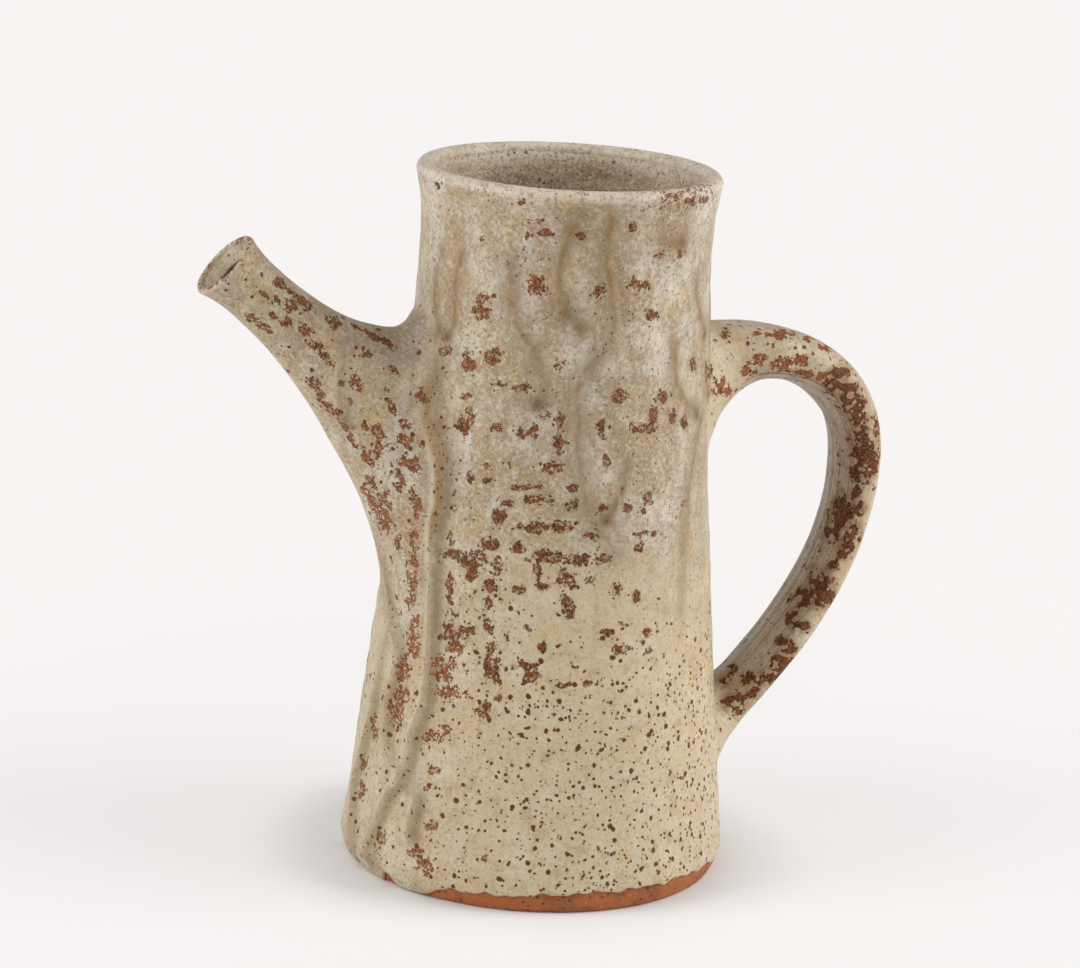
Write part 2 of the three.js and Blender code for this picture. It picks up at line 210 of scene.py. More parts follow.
# runs of glaze: pixels down the photographed side, or degrees and heights on the far side. Half width,
# rise, the length over which a run gathers and the stretch of it that is gold are in millimetres
runs = [
    {"half": 2.9, "rise": 2.3, "gather": 75, "gold": (18, 64), "pixels": [
        (440, 330), (437, 394), (444, 457), (441, 496), (432, 534), (428, 585), (429, 620), (427, 650),
        (425, 680), (422, 706), (415, 726), (407, 748), (403, 764), (395, 778), (386, 792), (377, 810),
        (370, 826), (366, 842), (365, 856)]},
    {"half": 2.6, "rise": 2.2, "pixels": [
        (403, 766), (411, 784), (415, 796), (414, 810), (409, 822), (405, 834)]},
    {"half": 2.4, "rise": 2.1, "gather": 30, "pixels": [
        (392, 560), (388, 620), (393, 646), (396, 660), (390, 680), (385, 702), (383, 726), (384, 746),
        (389, 764), (396, 778)]},
    {"half": 2.4, "rise": 2.1, "gather": 30, "pixels": [
        (387, 628), (380, 656), (375, 686), (368, 718), (362, 740), (355, 764), (350, 790), (348, 820),
        (348, 846)]},
    {"half": 1.9, "rise": 0.4, "pixels": [
        (580, 218), (565, 248), (559, 276), (558, 300), (565, 313), (580, 328)]},
    {"half": 2.1, "rise": 0.7, "pixels": [
        (613, 218), (605, 246), (615, 304), (612, 345), (603, 355), (582, 373), (576, 394), (578, 432),
        (577, 470), (586, 488), (585, 519), (595, 524), (610, 542), (615, 555)]},
    {"half": 1.7, "rise": 0.4, "pixels": [(628, 468), (620, 496), (608, 521)]},
    {"half": 2.3, "rise": 0.3, "pixels": [(556, 296), (559, 304), (566, 314)]},
    {"half": 2.2, "rise": 0.2, "pixels": [(664, 238), (672, 244), (682, 243)]},
    {"half": 1.9, "rise": 0.5, "pixels": [
        (511, 259), (508, 289), (517, 326), (531, 348), (536, 371), (544, 381), (536, 404)]},
    {"half": 1.9, "rise": 0.5, "pixels": [(674, 345), (679, 394), (697, 414)]},
    {"half": 2.0, "rise": 0.6, "pixels": [(700, 419), (690, 483), (684, 534), (684, 585), (683, 613)]},
    {"half": 1.5, "rise": 0.35, "pixels": [(441, 250), (432, 289), (439, 333)]},
    {"half": 1.5, "rise": 0.35, "pixels": [(463, 254), (455, 285), (454, 328), (447, 337)]},
    {"half": 1.7, "rise": 0.4, "pixels": [(697, 276), (697, 304), (706, 333)]},
    {"half": 2.3, "rise": 1.2, "wall": [(150, 170), (152, 130), (149, 90), (153, 52), (150, 24)]},
    {"half": 1.9, "rise": 0.6, "wall": [(128, 221), (130, 190), (127, 160), (131, 128)]},
    {"half": 2.1, "rise": 0.7, "wall": [(104, 218), (101, 184), (106, 150), (103, 118), (107, 84)]},
    {"half": 1.8, "rise": 0.5, "wall": [(72, 222), (75, 196), (70, 168)]},
    {"half": 2.0, "rise": 0.6, "wall": [(48, 216), (51, 176), (46, 140), (49, 112)]},
    {"half": 1.7, "rise": 0.5, "wall": [(335, 200), (338, 178), (334, 160)]},
]


def gathered(along, run):
    # a run gathers slowly where it starts
    return 0.15 + 0.85 * smooth(along, 0, run["gather"])


def runLine(run):
    if "wall" in run:
        line = np.array(run["wall"], float)
    else:
        top = run["pixels"][0][1]
        lifts = [run["rise"] * gathered((py - top) / view["pixelsPerMm"], run) for px, py in run["pixels"]]
        line = np.array([wallPlace(*pixel, lift) for pixel, lift in zip(run["pixels"], lifts)])
    # corners are cut once, so that a run bends softly
    cut = [line[:-1] * share + line[1:] * (1 - share) for share in (0.75, 0.25)]
    return np.concatenate([line[:1], np.stack(cut, 1).reshape(-1, 2), line[-1:]])


for run in runs:
    run.setdefault("gather", 18)
    run.setdefault("gold", (2, 24))
    run["line"] = runLine(run)


def runMasks(places):
    # rise of the runs over the glaze, their cores, the stain round them, painted shade on one side and
    # painted light on the other, and their ends
    angle, around = roundAxis(places)
    angle = angle + noiseAt(places, 9, 4) * 0.9
    nearWall = 1 - smooth(around - glazedRadius(places[:, 2]), 5, 13)
    rise, core, stain, lee, pool = np.zeros((5, len(places)))
    for run in runs:
        line, half, height = run["line"], run["half"], run["rise"]
        near = np.flatnonzero(np.abs(turnFrom(angle, line[:, 0].mean())) < 30)
        apart, passed = np.full(len(near), 99.0), 0.0
        along, aside = np.zeros((2, len(near)))
        for start, end in zip(line[:-1], line[1:]):
            perDegree = math.radians(1) * float(glazedRadius((start[1] + end[1]) / 2))
            x = turnFrom(angle[near], start[0]) * perDegree
            z = places[near, 2] - start[1]
            dx, dz = (end[0] - start[0]) * perDegree, end[1] - start[1]
            t = np.clip((x * dx + z * dz) / (dx * dx + dz * dz), 0, 1)
            gap = np.hypot(x - dx * t, z - dz * t)
            along = np.where(gap < apart, passed + t * math.hypot(dx, dz), along)
            aside = np.where(gap < apart, x - dx * t, aside)
            apart = np.minimum(apart, gap)
            passed += math.hypot(dx, dz)
        bulb = np.hypot(x - dx, z - dz)  # the last stretch ends in a fuller drop
        q = np.minimum(apart / half, bulb / (half * 1.3))
        begun = gathered(along, run)
        ridge = (1 - smooth(q, 0.05, 1.3)) * height * begun
        rise[near] = np.maximum(rise[near], ridge)
        start, end = run["gold"]
        golden = smooth(along, start - 6, start + 2) * (1 - 0.85 * smooth(along, end - 5, end + 9))
        core[near] = np.maximum(core[near], np.exp(-((q / 0.45) ** 2)) * golden)
        # the right side of each ridge gets painted shade and the left side painted light
        side = smooth(aside, 0, half * 0.5) - smooth(-aside, 0, half * 0.5)
        lee[near] += np.exp(-(((q - 0.8) / 0.55) ** 2)) * side * begun * min(height / 2, 1)
        if height < 1:
            high = smooth(places[near, 2], 105, 130)
            pool[near] = np.maximum(pool[near], np.exp(-((bulb / half / 1.2) ** 2)) * high)
        stain[near] = np.maximum(stain[near], np.exp(-((q / 1.8) ** 2)))
    return [values * nearWall for values in (rise, core, stain, np.clip(lee, -1, 1), pool)]


# soft folds of glaze across the spout's flank, as pixels of the photographed view
spoutFolds = [
    [(327, 333), (335, 347), (341, 359), (338, 375), (338, 394), (341, 412), (347, 425)],
    [(252, 306), (262, 300), (270, 295)],
]


def foldMask(places):
    px, py = photoPlaces(places)
    near = np.full(len(places), 99.0)
    for fold in spoutFolds:
        for (x0, y0), (x1, y1) in zip(fold[:-1], fold[1:]):
            dx, dy = x1 - x0, y1 - y0
            t = np.clip(((px - x0) * dx + (py - y0) * dy) / (dx * dx + dy * dy), 0, 1)
            near = np.minimum(near, np.hypot(px - x0 - dx * t, py - y0 - dy * t) / view["pixelsPerMm"])
    return np.exp(-((near / 1.7) ** 2)) * (places[:, 1] < 0)


# unevenness of the glaze in millimetres: lumps as size, shift and rise, throwing rings, curtains, and
# the thick glaze that gathers over the foot below the spout
uneven = {
    "lumps": [(26, 0, 0.28), (9, 5, 0.1), (3.5, 9, 0.05)], "ringPitch": 11, "ringRise": 0.06, "curtain": 0.12,
    "thickAngle": 188, "thickSpread": 30, "thickBand": (4, 20),
}


def glazeRelief(places):
    angle, around = roundAxis(places)
    onBody = 1 - smooth(around - glazedRadius(places[:, 2]), 2, 12)
    sway = noiseAt(places * [1, 1, 0.05], 40) * 3
    rings = np.sin((places[:, 2] + sway) * 2 * math.pi / uneven["ringPitch"]) * uneven["ringRise"]
    rings *= 1 + noiseAt(places, 30, 2)
    lumps = sum(noiseAt(places, size, shift) * rise for size, shift, rise in uneven["lumps"])
    curtains = noiseAt(places * [1, 1, 0.1], 6, 3) * uneven["curtain"]
    pooled = np.exp(-((turnFrom(angle, uneven["thickAngle"]) / uneven["thickSpread"]) ** 4))
    pooled *= 1 - smooth(places[:, 2], *uneven["thickBand"])
    pooled *= 1.0 + 0.8 * noiseAt(places, 11, 7)
    rise = runMasks(places)[0]
    return lumps + (rings + curtains + pooled) * onBody + rise


# iron patches in the glaze: pixel column, row, width and height on the photographed side
ironPatches = {
    "shoulder": {"lace": 0.55, "lean": 0, "grow": 1.25, "marks": [
        (521, 202, 5, 4), (481, 240, 6, 5), (538, 221, 12, 4), (528, 236, 6, 5), (548, 233, 12, 5),
        (582, 236, 8, 6), (536, 287, 15, 13), (598, 292, 11, 8), (638, 285, 13, 11), (659, 255, 7, 5),
        (680, 253, 6, 5), (633, 227, 6, 6), (486, 299, 13, 7), (481, 313, 14, 9), (445, 350, 8, 10),
        (469, 364, 9, 17), (491, 356, 12, 12), (471, 414, 7, 10), (498, 385, 9, 6), (462, 397, 13, 5),
        (521, 387, 11, 6), (545, 416, 9, 5), (562, 366, 9, 7), (621, 396, 13, 9), (662, 396, 11, 8),
        (693, 366, 5, 9), (652, 314, 9, 9), (653, 413, 9, 9), (708, 372, 5, 13), (716, 388, 5, 13),
        (703, 200, 10, 4), (691, 201, 7, 4), (672, 196, 9, 3), (438, 185, 6, 5), (420, 395, 12, 9)]},
    "belly": {"lace": 0.35, "lean": 0, "grow": 1.17, "marks": [
        (465, 425, 12, 14), (498, 428, 10, 8), (521, 433, 10, 9), (535, 430, 8, 10), (543, 417, 7, 5),
        (560, 423, 9, 14), (560, 442, 11, 10), (552, 467, 19, 8), (560, 454, 6, 8), (602, 427, 8, 12),
        (607, 463, 6, 12), (643, 428, 20, 9), (653, 417, 5, 10), (672, 415, 5, 12), (683, 423, 6, 11),
        (487, 467, 6, 6), (508, 463, 7, 6), (472, 477, 7, 9), (487, 480, 6, 5), (528, 487, 26, 4),
        (533, 500, 24, 7), (508, 502, 12, 6), (573, 505, 10, 10), (572, 488, 8, 5), (603, 508, 6, 8),
        (648, 495, 9, 12), (628, 508, 9, 8), (643, 510, 5, 8), (500, 517, 10, 14), (455, 508, 6, 7),
        (535, 528, 28, 8), (560, 527, 24, 8), (587, 535, 18, 6), (647, 533, 18, 5), (450, 538, 7, 8),
        (488, 545, 14, 10), (455, 553, 22, 8), (472, 561, 22, 12), (520, 549, 12, 10), (545, 557, 32, 10),
        (572, 559, 28, 10), (603, 560, 16, 7), (640, 547, 7, 8), (497, 567, 10, 17), (490, 587, 10, 15),
        (488, 604, 8, 14), (488, 625, 7, 17), (492, 648, 8, 13), (450, 587, 6, 19), (452, 615, 9, 11),
        (453, 637, 18, 22), (472, 575, 12, 10), (468, 630, 11, 7), (537, 573, 8, 12), (517, 590, 10, 12),
        (542, 587, 10, 10), (568, 580, 14, 15), (567, 600, 9, 10), (568, 612, 12, 11), (590, 583, 10, 7),
        (617, 590, 9, 10), (637, 597, 8, 8), (507, 635, 7, 9), (527, 630, 7, 10), (543, 647, 8, 10),
        (608, 633, 10, 6), (623, 624, 8, 7), (645, 633, 8, 7), (620, 650, 16, 7), (648, 650, 7, 7),
        (494, 670, 13, 22), (524, 666, 18, 8), (530, 678, 16, 10), (484, 712, 12, 12), (500, 698, 7, 8),
        (560, 684, 15, 5), (584, 684, 9, 6), (572, 666, 7, 6)]},
    "flank": {"lace": 0.8, "lean": 0, "grow": 0.92, "marks": [
        (405, 438, 11, 8), (412, 463, 16, 11), (422, 448, 8, 8), (403, 481, 9, 9), (413, 493, 8, 9),
        (416, 511, 8, 11), (413, 533, 9, 11), (413, 558, 11, 16), (413, 583, 13, 18), (411, 602, 12, 11),
        (416, 622, 10, 13), (412, 638, 12, 18), (414, 650, 12, 16), (404, 670, 14, 22), (402, 696, 12, 16),
        (396, 713, 14, 26), (444, 668, 22, 22), (454, 648, 16, 10), (452, 692, 28, 11), (436, 736, 24, 12),
        (446, 728, 10, 10), (374, 730, 7, 24), (364, 762, 7, 14), (362, 790, 6, 16), (436, 770, 12, 9),
        (430, 788, 10, 7), (432, 826, 11, 11), (380, 840, 9, 22), (416, 852, 18, 10), (424, 864, 18, 12),
        (426, 874, 8, 8), (484, 858, 7, 6)]},
    "spout": {"lace": 0.65, "lean": 38, "grow": 0.95, "marks": [
        (300, 300, 28, 8), (279, 283, 12, 8), (291, 306, 18, 12), (285, 322, 12, 9), (304, 330, 14, 9),
        (266, 297, 13, 7), (271, 314, 8, 6), (257, 322, 32, 8), (315, 345, 17, 9), (326, 357, 18, 8),
        (332, 322, 18, 11), (357, 328, 13, 6), (372, 336, 19, 6), (388, 343, 17, 6), (366, 353, 13, 8),
        (391, 370, 13, 8), (387, 388, 7, 5), (390, 402, 11, 5), (394, 413, 10, 6), (405, 423, 11, 8),
        (313, 383, 14, 9), (330, 409, 25, 8), (322, 396, 12, 6), (419, 395, 12, 9), (405, 441, 20, 9),
        (410, 463, 25, 10), (398, 475, 13, 9), (398, 487, 11, 8), (278, 300, 9, 5), (342, 384, 6, 5)]},
    "spoutBelow": {"lace": 0.8, "lean": 62, "grow": 1.1, "marks": [
        (355, 381, 22, 9), (349, 400, 7, 6), (379, 436, 20, 10), (366, 428, 7, 6), (366, 455, 15, 10),
        (380, 455, 8, 6), (372, 484, 11, 8), (369, 497, 24, 8), (385, 500, 17, 9), (383, 520, 21, 11),
        (416, 500, 9, 7), (416, 511, 12, 9), (398, 541, 12, 8), (413, 534, 11, 8), (352, 440, 18, 5),
        (343, 425, 16, 5)]},
    "handleTop": {"lace": 0.9, "lean": 0, "grow": 1.05, "marks": [
        (780, 333, 26, 9), (725, 333, 8, 8), (759, 360, 18, 9), (782, 364, 20, 11), (801, 360, 14, 9),
        (748, 371, 12, 8), (805, 373, 16, 7), (822, 375, 13, 8), (825, 348, 16, 7), (721, 383, 5, 14),
        (728, 391, 4, 12), (757, 333, 8, 6), (810, 338, 10, 5)]},
    "handle": {"lace": 0.1, "lean": 0, "grow": 1.25, "marks": [(840, 373, 16, 11),
        (834, 385, 15, 11), (849, 396, 17, 20), (857, 411, 15, 22), (861, 438, 18, 16), (865, 454, 20, 24),
        (859, 473, 15, 18), (871, 465, 9, 14), (876, 427, 7, 18), (856, 494, 9, 9), (859, 508, 10, 9),
        (844, 508, 15, 23), (838, 519, 14, 16), (832, 533, 14, 13), (853, 533, 12, 16), (848, 546, 14, 12),
        (842, 554, 9, 8), (821, 585, 17, 20), (815, 596, 28, 15), (827, 598, 12, 10), (801, 604, 10, 10),
        (832, 566, 8, 8), (792, 619, 8, 14), (805, 627, 8, 8), (782, 642, 9, 9), (790, 650, 9, 9),
        (784, 663, 16, 16), (769, 677, 16, 12), (748, 679, 11, 10), (734, 704, 16, 14), (752, 692, 11, 8),
        (725, 681, 8, 7), (732, 669, 7, 6)]},
}


def ironMask(places, normals, seed):
    # how much iron there is, and how far it is drawn out into lace
    px, py = photoPlaces(places)
    outside = np.hypot(places[:, 0], places[:, 1]) > clayRadius(places[:, 2]) - 0.5
    toEye = np.array(view["eye"]) - places
    facing = np.sum(normals * toEye, axis=1) / np.linalg.norm(toEye, axis=1)
    mask, lace = np.zeros((2, len(places)))
    for patch in ironPatches.values():
        c, s = math.cos(math.radians(patch["lean"])), math.sin(math.radians(patch["lean"]))
        for column, row, wide, tall in patch["marks"]:
            dx, dy = px - column, py - row
            q = ((dx * c + dy * s) / wide) ** 2 + ((dy * c - dx * s) / tall) ** 2
            mark = np.exp(-2.8 * q / patch["grow"] ** 2)
            lace = np.where(mark > mask, patch["lace"], lace)
            mask = np.maximum(mask, mark)
    mask *= smooth(facing, 0.02, 0.2) * outside
    # the far side has patches of the same sizes by chance
    chance = np.random.default_rng(seed)
    far = np.flatnonzero((facing < -0.02) & outside)
    for middle in places[chance.choice(far, min(len(far) // 420, 110))]:
        for link in range(chance.integers(1, 4)):
            size, stretch = chance.uniform(1.0, 2.7), chance.uniform(0.6, 2.2)
            at = middle - [0, 0, link * size * 3.5]
            d = (places - at) / [size, size, size * stretch]
            mask = np.maximum(mask, np.exp(-0.7 * np.sum(d * d, axis=1)) * (facing < 0.1) * outside)
    return mask, np.where(facing < 0.02, 0.4, lace)


def newObject(name, bm):
    mesh = bpy.data.meshes.new(name)
    bm.to_mesh(mesh)
    bm.free()
    mesh.shade_smooth()
    made = bpy.data.objects.new(name, mesh)
    bpy.context.scene.collection.objects.link(made)
    return made


def turnedForm(name, profile, steps, closed):
    # a profile of radius and height, spun round the throwing axis
    bm = bmesh.new()
    verts = [bm.verts.new((r * mm, 0, z * mm)) for r, z in profile]
    pairs = list(zip(verts, verts[1:])) + ([(verts[-1], verts[0])] if closed else [])
    edges = [bm.edges.new(pair) for pair in pairs]
    bmesh.ops.spin(
        bm, geom=verts + edges, cent=(0, 0, 0), axis=(0, 0, 1), angle=2 * math.pi, steps=steps, use_merge=True
    )
    bmesh.ops.remove_doubles(bm, verts=bm.verts, dist=1e-6)
    bmesh.ops.recalc_face_normals(bm, faces=bm.faces)
    if bm.calc_volume(signed=True) < 0:
        bmesh.ops.reverse_faces(bm, faces=bm.faces)
    return newObject(name, bm)


def wrappedForm(name, places, edge=None):
    # a grid laid over rows and columns of places; where its edges meet they are welded
    rows, columns = places.shape[:2]
    bm = bmesh.new()
    bmesh.ops.create_grid(bm, x_segments=columns - 1, y_segments=rows - 1, size=0.5)
    worn = bm.verts.layers.float.new("edge")
    for vert in bm.verts:
        column = round((vert.co.x + 0.5) * (columns - 1))
        row = round((vert.co.y + 0.5) * (rows - 1))
        vert.co = places[row, column] * mm
        vert[worn] = 0 if edge is None else edge[row, column]
    bmesh.ops.remove_doubles(bm, verts=bm.verts, dist=1e-6)
    bmesh.ops.recalc_face_normals(bm, faces=bm.faces)
    return newObject(name, bm)


def vertexValues(piece):
    count = len(piece.data.vertices)
    places, normals = np.zeros(count * 3, np.float32), np.zeros(count * 3, np.float32)
    piece.data.vertices.foreach_get("co", places)
    piece.data.vertex_normals.foreach_get("vector", normals)
    return places.reshape(-1, 3).astype(float) / mm, normals.reshape(-1, 3).astype(float)


def setPlaces(piece, places):
    piece.data.vertices.foreach_set("co", (places * mm).astype(np.float32).ravel())
    piece.data.update()


def setMask(piece, name, values):
    mask = piece.data.attributes.get(name) or piece.data.attributes.new(name, "FLOAT", "POINT")
    mask.data.foreach_set("value", np.asarray(values, np.float32))


def cutPassage(piece):
    # the oval way from the inside of the jug into its spout
    bm = bmesh.new()
    bmesh.ops.create_circle(bm, segments=48, radius=0.5 * mm, cap_ends=True)
    out = bmesh.ops.extrude_face_region(bm, geom=bm.faces[:])["geom"]
    far = [v for v in out if isinstance(v, bmesh.types.BMVert)]
    bmesh.ops.translate(bm, verts=far, vec=(0, 0, thrown["holeDepth"] * mm))
    bmesh.ops.scale(bm, verts=bm.verts, vec=(thrown["holeTall"], thrown["holeWide"], 1))
    bmesh.ops.rotate(bm, verts=bm.verts, matrix=Matrix.Rotation(-math.pi / 2, 3, "Y"))
    bmesh.ops.translate(bm, verts=bm.verts, vec=(-thrown["holeStart"] * mm, 0, rootHeight * mm))
    bmesh.ops.recalc_face_normals(bm, faces=bm.faces)
    cutter = newObject("passage_cutter", bm)
    cut = piece.modifiers.new("passage", "BOOLEAN")
    cut.object, cut.operation, cut.solver = cutter, "DIFFERENCE", "EXACT"
    uncut = piece.data
    piece.data = bpy.data.meshes.new_from_object(piece.evaluated_get(bpy.context.evaluated_depsgraph_get()))
    piece.modifiers.clear()
    bpy.data.meshes.remove(uncut)
    bpy.data.objects.remove(cutter)


# grey-lilac smudges where the spout's top meets the wall: column, row, width and height
smudges = [(354, 342, 13, 7), (404, 352, 17, 11), (378, 336, 20, 5), (418, 330, 8, 14)]


def softSpot(px, py, x, y, wide, tall):
    return np.exp(-(((px - x) / wide) ** 2) - ((py - y) / tall) ** 2)


def smudgeMask(places):
    px, py = photoPlaces(places)
    mask = [softSpot(px, py, *smudge) for smudge in smudges]
    return np.max(mask, axis=0) * (places[:, 0] < 0) * (places[:, 1] < 10)


# pale clouds in the glaze, and honey pools below nought: column, row, width, height and strength
blooms = [
    (434, 192, 18, 16, 0.7), (469, 209, 34, 11, 0.6), (431, 244, 10, 26, 0.7), (479, 268, 13, 26, 0.7),
    (438, 323, 10, 16, 0.7), (521, 309, 17, 15, 0.5), (583, 282, 11, 17, 0.6), (638, 265, 12, 20, 0.6),
    (641, 337, 30, 15, 1.0), (672, 292, 14, 20, 0.8), (703, 218, 12, 22, 0.8), (710, 296, 7, 26, 0.7),
    (607, 368, 13, 9, 0.7), (586, 402, 11, 11, 0.7), (648, 368, 22, 10, 0.7), (479, 344, 16, 16, 0.6),
    (555, 358, 13, 12, 0.5), (460, 450, 12, 20, 0.9), (607, 473, 15, 22, 0.9), (633, 420, 14, 12, 0.6),
    (617, 548, 10, 6, 0.9), (667, 510, 15, 20, 0.7), (510, 613, 26, 12, 0.5), (547, 600, 18, 14, 0.6),
    (420, 543, 6, 18, 0.7), (330, 322, 12, 7, 0.8), (372, 470, 16, 8, 0.5), (402, 745, 10, 30, 0.6),
    (375, 790, 9, 24, 0.6), (448, 752, 20, 10, 0.5), (545, 720, 26, 10, 0.4), (620, 770, 30, 12, 0.4),
    (676, 244, 12, 9, -0.8), (638, 238, 8, 11, -0.7), (550, 632, 18, 8, -0.9), (470, 528, 11, 8, -0.8),
    (604, 209, 14, 4, -0.7), (645, 386, 20, 6, -0.5), (375, 420, 16, 9, -0.7), (472, 720, 9, 26, -0.6),
    (352, 432, 10, 7, -0.7), (404, 375, 7, 5, -0.8), (522, 690, 26, 10, -0.5), (600, 700, 26, 14, -0.4),
]


def bloomMask(places):
    px, py = photoPlaces(places)
    near = smooth(-places[:, :2] @ np.array([0.345, 0.94]), 0, 8)
    mask = sum(much * softSpot(px, py, *spot) for *spot, much in blooms)
    return np.clip(mask, -1, 1) * near


def glazeMarks(piece, seed, warm, dots):
    # masks that the glaze material reads
    places, normals = vertexValues(piece)
    rise, core, stain, lee, pool = runMasks(places)
    setMask(piece, "run", core)
    setMask(piece, "stain", stain)
    # painted shade and painted light along the two sides of the runs
    setMask(piece, "lee", lee)
    iron, lace = ironMask(places, normals, seed)
    setMask(piece, "iron", iron)
    setMask(piece, "lace", lace)
    setMask(piece, "warm", warm(places))
    setMask(piece, "dots", dots(places))
    smudged = smudgeMask(places)
    setMask(piece, "smudge", smudged)
    setMask(piece, "pool", np.maximum(pool, smudged * 0.72))
    setMask(piece, "bloom", bloomMask(places))


def carry(piece, node):
    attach(piece, "root")
    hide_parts(node)


# spout: a hollow cone on a tall saddle, flaring to a thin-lipped mouth
spoutForm = {
    "rootDrop": 87.8, "rootTall": 76.0, "rootWide": 35.0, "reach": 63.2, "rise": 57.8, "pitch": 42.6,
    "curl": 1.64, "mouthRadius": 10.6, "throatRadius": 8.9, "throatPlace": 0.87, "taper": 2.4, "flare": 1.8,
    "lift": 0.9, "wall": 4.2, "lip": 2.3, "dish": (0.962, 1.003), "filletReach": (9.2, 21.0),
    "filletSpread": (8.7, 24.4), "sides": 150, "rows": 80, "filletSteps": 20, "foldRise": 1.5,
    "boreDepth": (2.2, 3.8),
}
rootHeight = thrown["jugHeight"] - spoutForm["rootDrop"]
saddle = np.array([-float(clayRadius(rootHeight)), 0, rootHeight])
mouth = saddle + [-spoutForm["reach"], 0, spoutForm["rise"]]
spoutLength = float(np.linalg.norm(mouth - saddle))

# outer glaze: from an uneven line over the bare foot, up the wall and over the lip
bodyCoat = {
    "steps": 360, "rows": 214, "backRows": 22, "overLip": 0.9, "calmBand": (221, 229),
    # the wiped line over the foot: its height, its waves as times round and shift, and its raised side
    "wipeHeight": 5.4, "ripple": 0.55, "waves": [(3, 0), (7, 57), (23, 20), (41, 90), (67, 5)],
    "raisedAngle": 290, "raisedSpread": 42, "raisedBy": 1.9,
    # lobes run down to the ground here, with gaps between: pixel, half width in degrees and height
    "poolAngle": 181, "poolSpread": 41, "poolHeight": 0.2,
    "gaps": [((387, 872), 2.6, 4.2), ((357, 856), 1.7, 2.6), ((349, 850), 1.2, 1.4)],
    # heights between which cream turns to greige, the cooler side, the brown dots and the rust at the rim
    "creamBand": (60, 170), "coolAngle": 192, "coolSpread": (58, 18), "coolShare": 0.34,
    "dotBand": (62, 118), "dotAngle": 320, "dotSpread": (115, 60),
    "rustAngle": 301, "rustSpread": 24, "rustDrop": (12, 3), "crestDrop": (3, 0.3),
}
gapAngles = [(wallPlace(*pixel)[0], wide, rise) for pixel, wide, rise in bodyCoat["gaps"]]


def footLine(angle):
    pool = np.exp(-((turnFrom(angle, bodyCoat["poolAngle"]) / bodyCoat["poolSpread"]) ** 14))
    raised = np.exp(-((turnFrom(angle, bodyCoat["raisedAngle"]) / bodyCoat["raisedSpread"]) ** 2))
    wave = sum(np.sin(np.radians(angle * times + shift)) for times, shift in bodyCoat["waves"])
    bare = bodyCoat["wipeHeight"] + bodyCoat["raisedBy"] * raised + bodyCoat["ripple"] * wave / 2
    gaps = sum(rise * np.exp(-(((angle - at) / wide) ** 4)) for at, wide, rise in gapAngles)
    return bare + (bodyCoat["poolHeight"] + gaps - bare) * pool


def overLip(offset, count):
    turn = np.linspace(0, math.pi, count)[1:-1]
    reach = lipRadius + offset
    return [(lipMiddle + math.cos(a) * reach, lipHeight + math.sin(a) * reach) for a in turn]


def makeBodyGlaze():
    edge = bodyCoat["wipeHeight"]
    heights = np.concatenate([edge + np.array([0, 0.3, 0.7, 1.2]),
                              np.linspace(edge + 2, lipHeight, bodyCoat["rows"])])
    thin = np.concatenate([[0.5, 0.8, 0.94, 1], np.ones(bodyCoat["rows"])])
    wall = [(clayRadius(z) + glazeOffset * t, z) for z, t in zip(heights, thin)]
    down = np.linspace(0, bodyCoat["overLip"], 10)
    inner = []
    for d in down:
        inner.append((insideRadius(lipHeight - d) - glazeOffset + 0.4 * smooth(d, 0, 0.9), lipHeight - d))
    back = [(insideRadius(lipHeight - d) - thrown["bond"], lipHeight - d) for d in down[::-3]]
    back += overLip(thrown["bond"], 9)[::-1]
    back += [(clayRadius(z) + thrown["bond"], z) for z in np.linspace(lipHeight, edge, bodyCoat["backRows"])]
    profile = wall + overLip(glazeOffset, 15) + inner + back
    glaze = turnedForm("body_glaze_coat", profile, bodyCoat["steps"], True)

    # the lower edge follows the wiped foot, and the outside takes the relief
    places, normals = vertexValues(glaze)
    angle, around = roundAxis(places)
    lowered = places[:, 2] + (footLine(angle) - edge) * np.exp(-np.clip(places[:, 2] - edge, 0, None) / 9)
    onWall = places[:, 2] < lipHeight - 20
    grow = np.where(onWall, clayRadius(lowered) - clayRadius(places[:, 2]), 0)
    outside = around > clayRadius(places[:, 2]) + 0.6 * glazeOffset
    places[:, :2] *= (1 + grow / around)[:, None]
    places[:, 2] = np.where(onWall, lowered, places[:, 2])
    keep = outside * smooth(places[:, 2], 1, 9) * (1 - 0.7 * smooth(places[:, 2], *bodyCoat["calmBand"]))
    setPlaces(glaze, places + normals * (glazeRelief(places) * keep)[:, None])
    cutPassage(glaze)
    glaze.data.shade_smooth()

    def warm(p):
        cooler = smooth(np.abs(turnFrom(roundAxis(p)[0], bodyCoat["coolAngle"])), *bodyCoat["coolSpread"])
        high = smooth(p[:, 2] + noiseAt(p, 35, 6) * 25, *bodyCoat["creamBand"])
        return (1 - high) * (1 - bodyCoat["coolShare"] * cooler)

    def dots(p):
        right = smooth(np.abs(turnFrom(roundAxis(p)[0], bodyCoat["dotAngle"])), *bodyCoat["dotSpread"])
        high = smooth(p[:, 2] + noiseAt(p, 30, 8) * 20, *bodyCoat["dotBand"])
        return (1 - high) * (0.3 + 0.7 * right)

    glazeMarks(glaze, 11, warm, dots)
    places, normals = vertexValues(glaze)
    angle, around = roundAxis(places)
    rustSide = 0.4 + 0.6 * np.exp(-((turnFrom(angle, bodyCoat["rustAngle"]) / bodyCoat["rustSpread"]) ** 4))
    below = [[thrown["jugHeight"] - drop for drop in bodyCoat[band]] for band in ("rustDrop", "crestDrop")]
    brink = smooth(places[:, 2], *below[0]) * (normals[:, 2] > -0.4)
    setMask(glaze, "edge", np.clip(brink * rustSide * (around > lipMiddle - 1), 0, 1))
    setMask(glaze, "crest", smooth(places[:, 2], *below[1]))
    carry(glaze, "body_glaze")
    return glaze


bodyGlaze = makeBodyGlaze()
print("body glaze made,", len(bodyGlaze.data.vertices), "vertices")


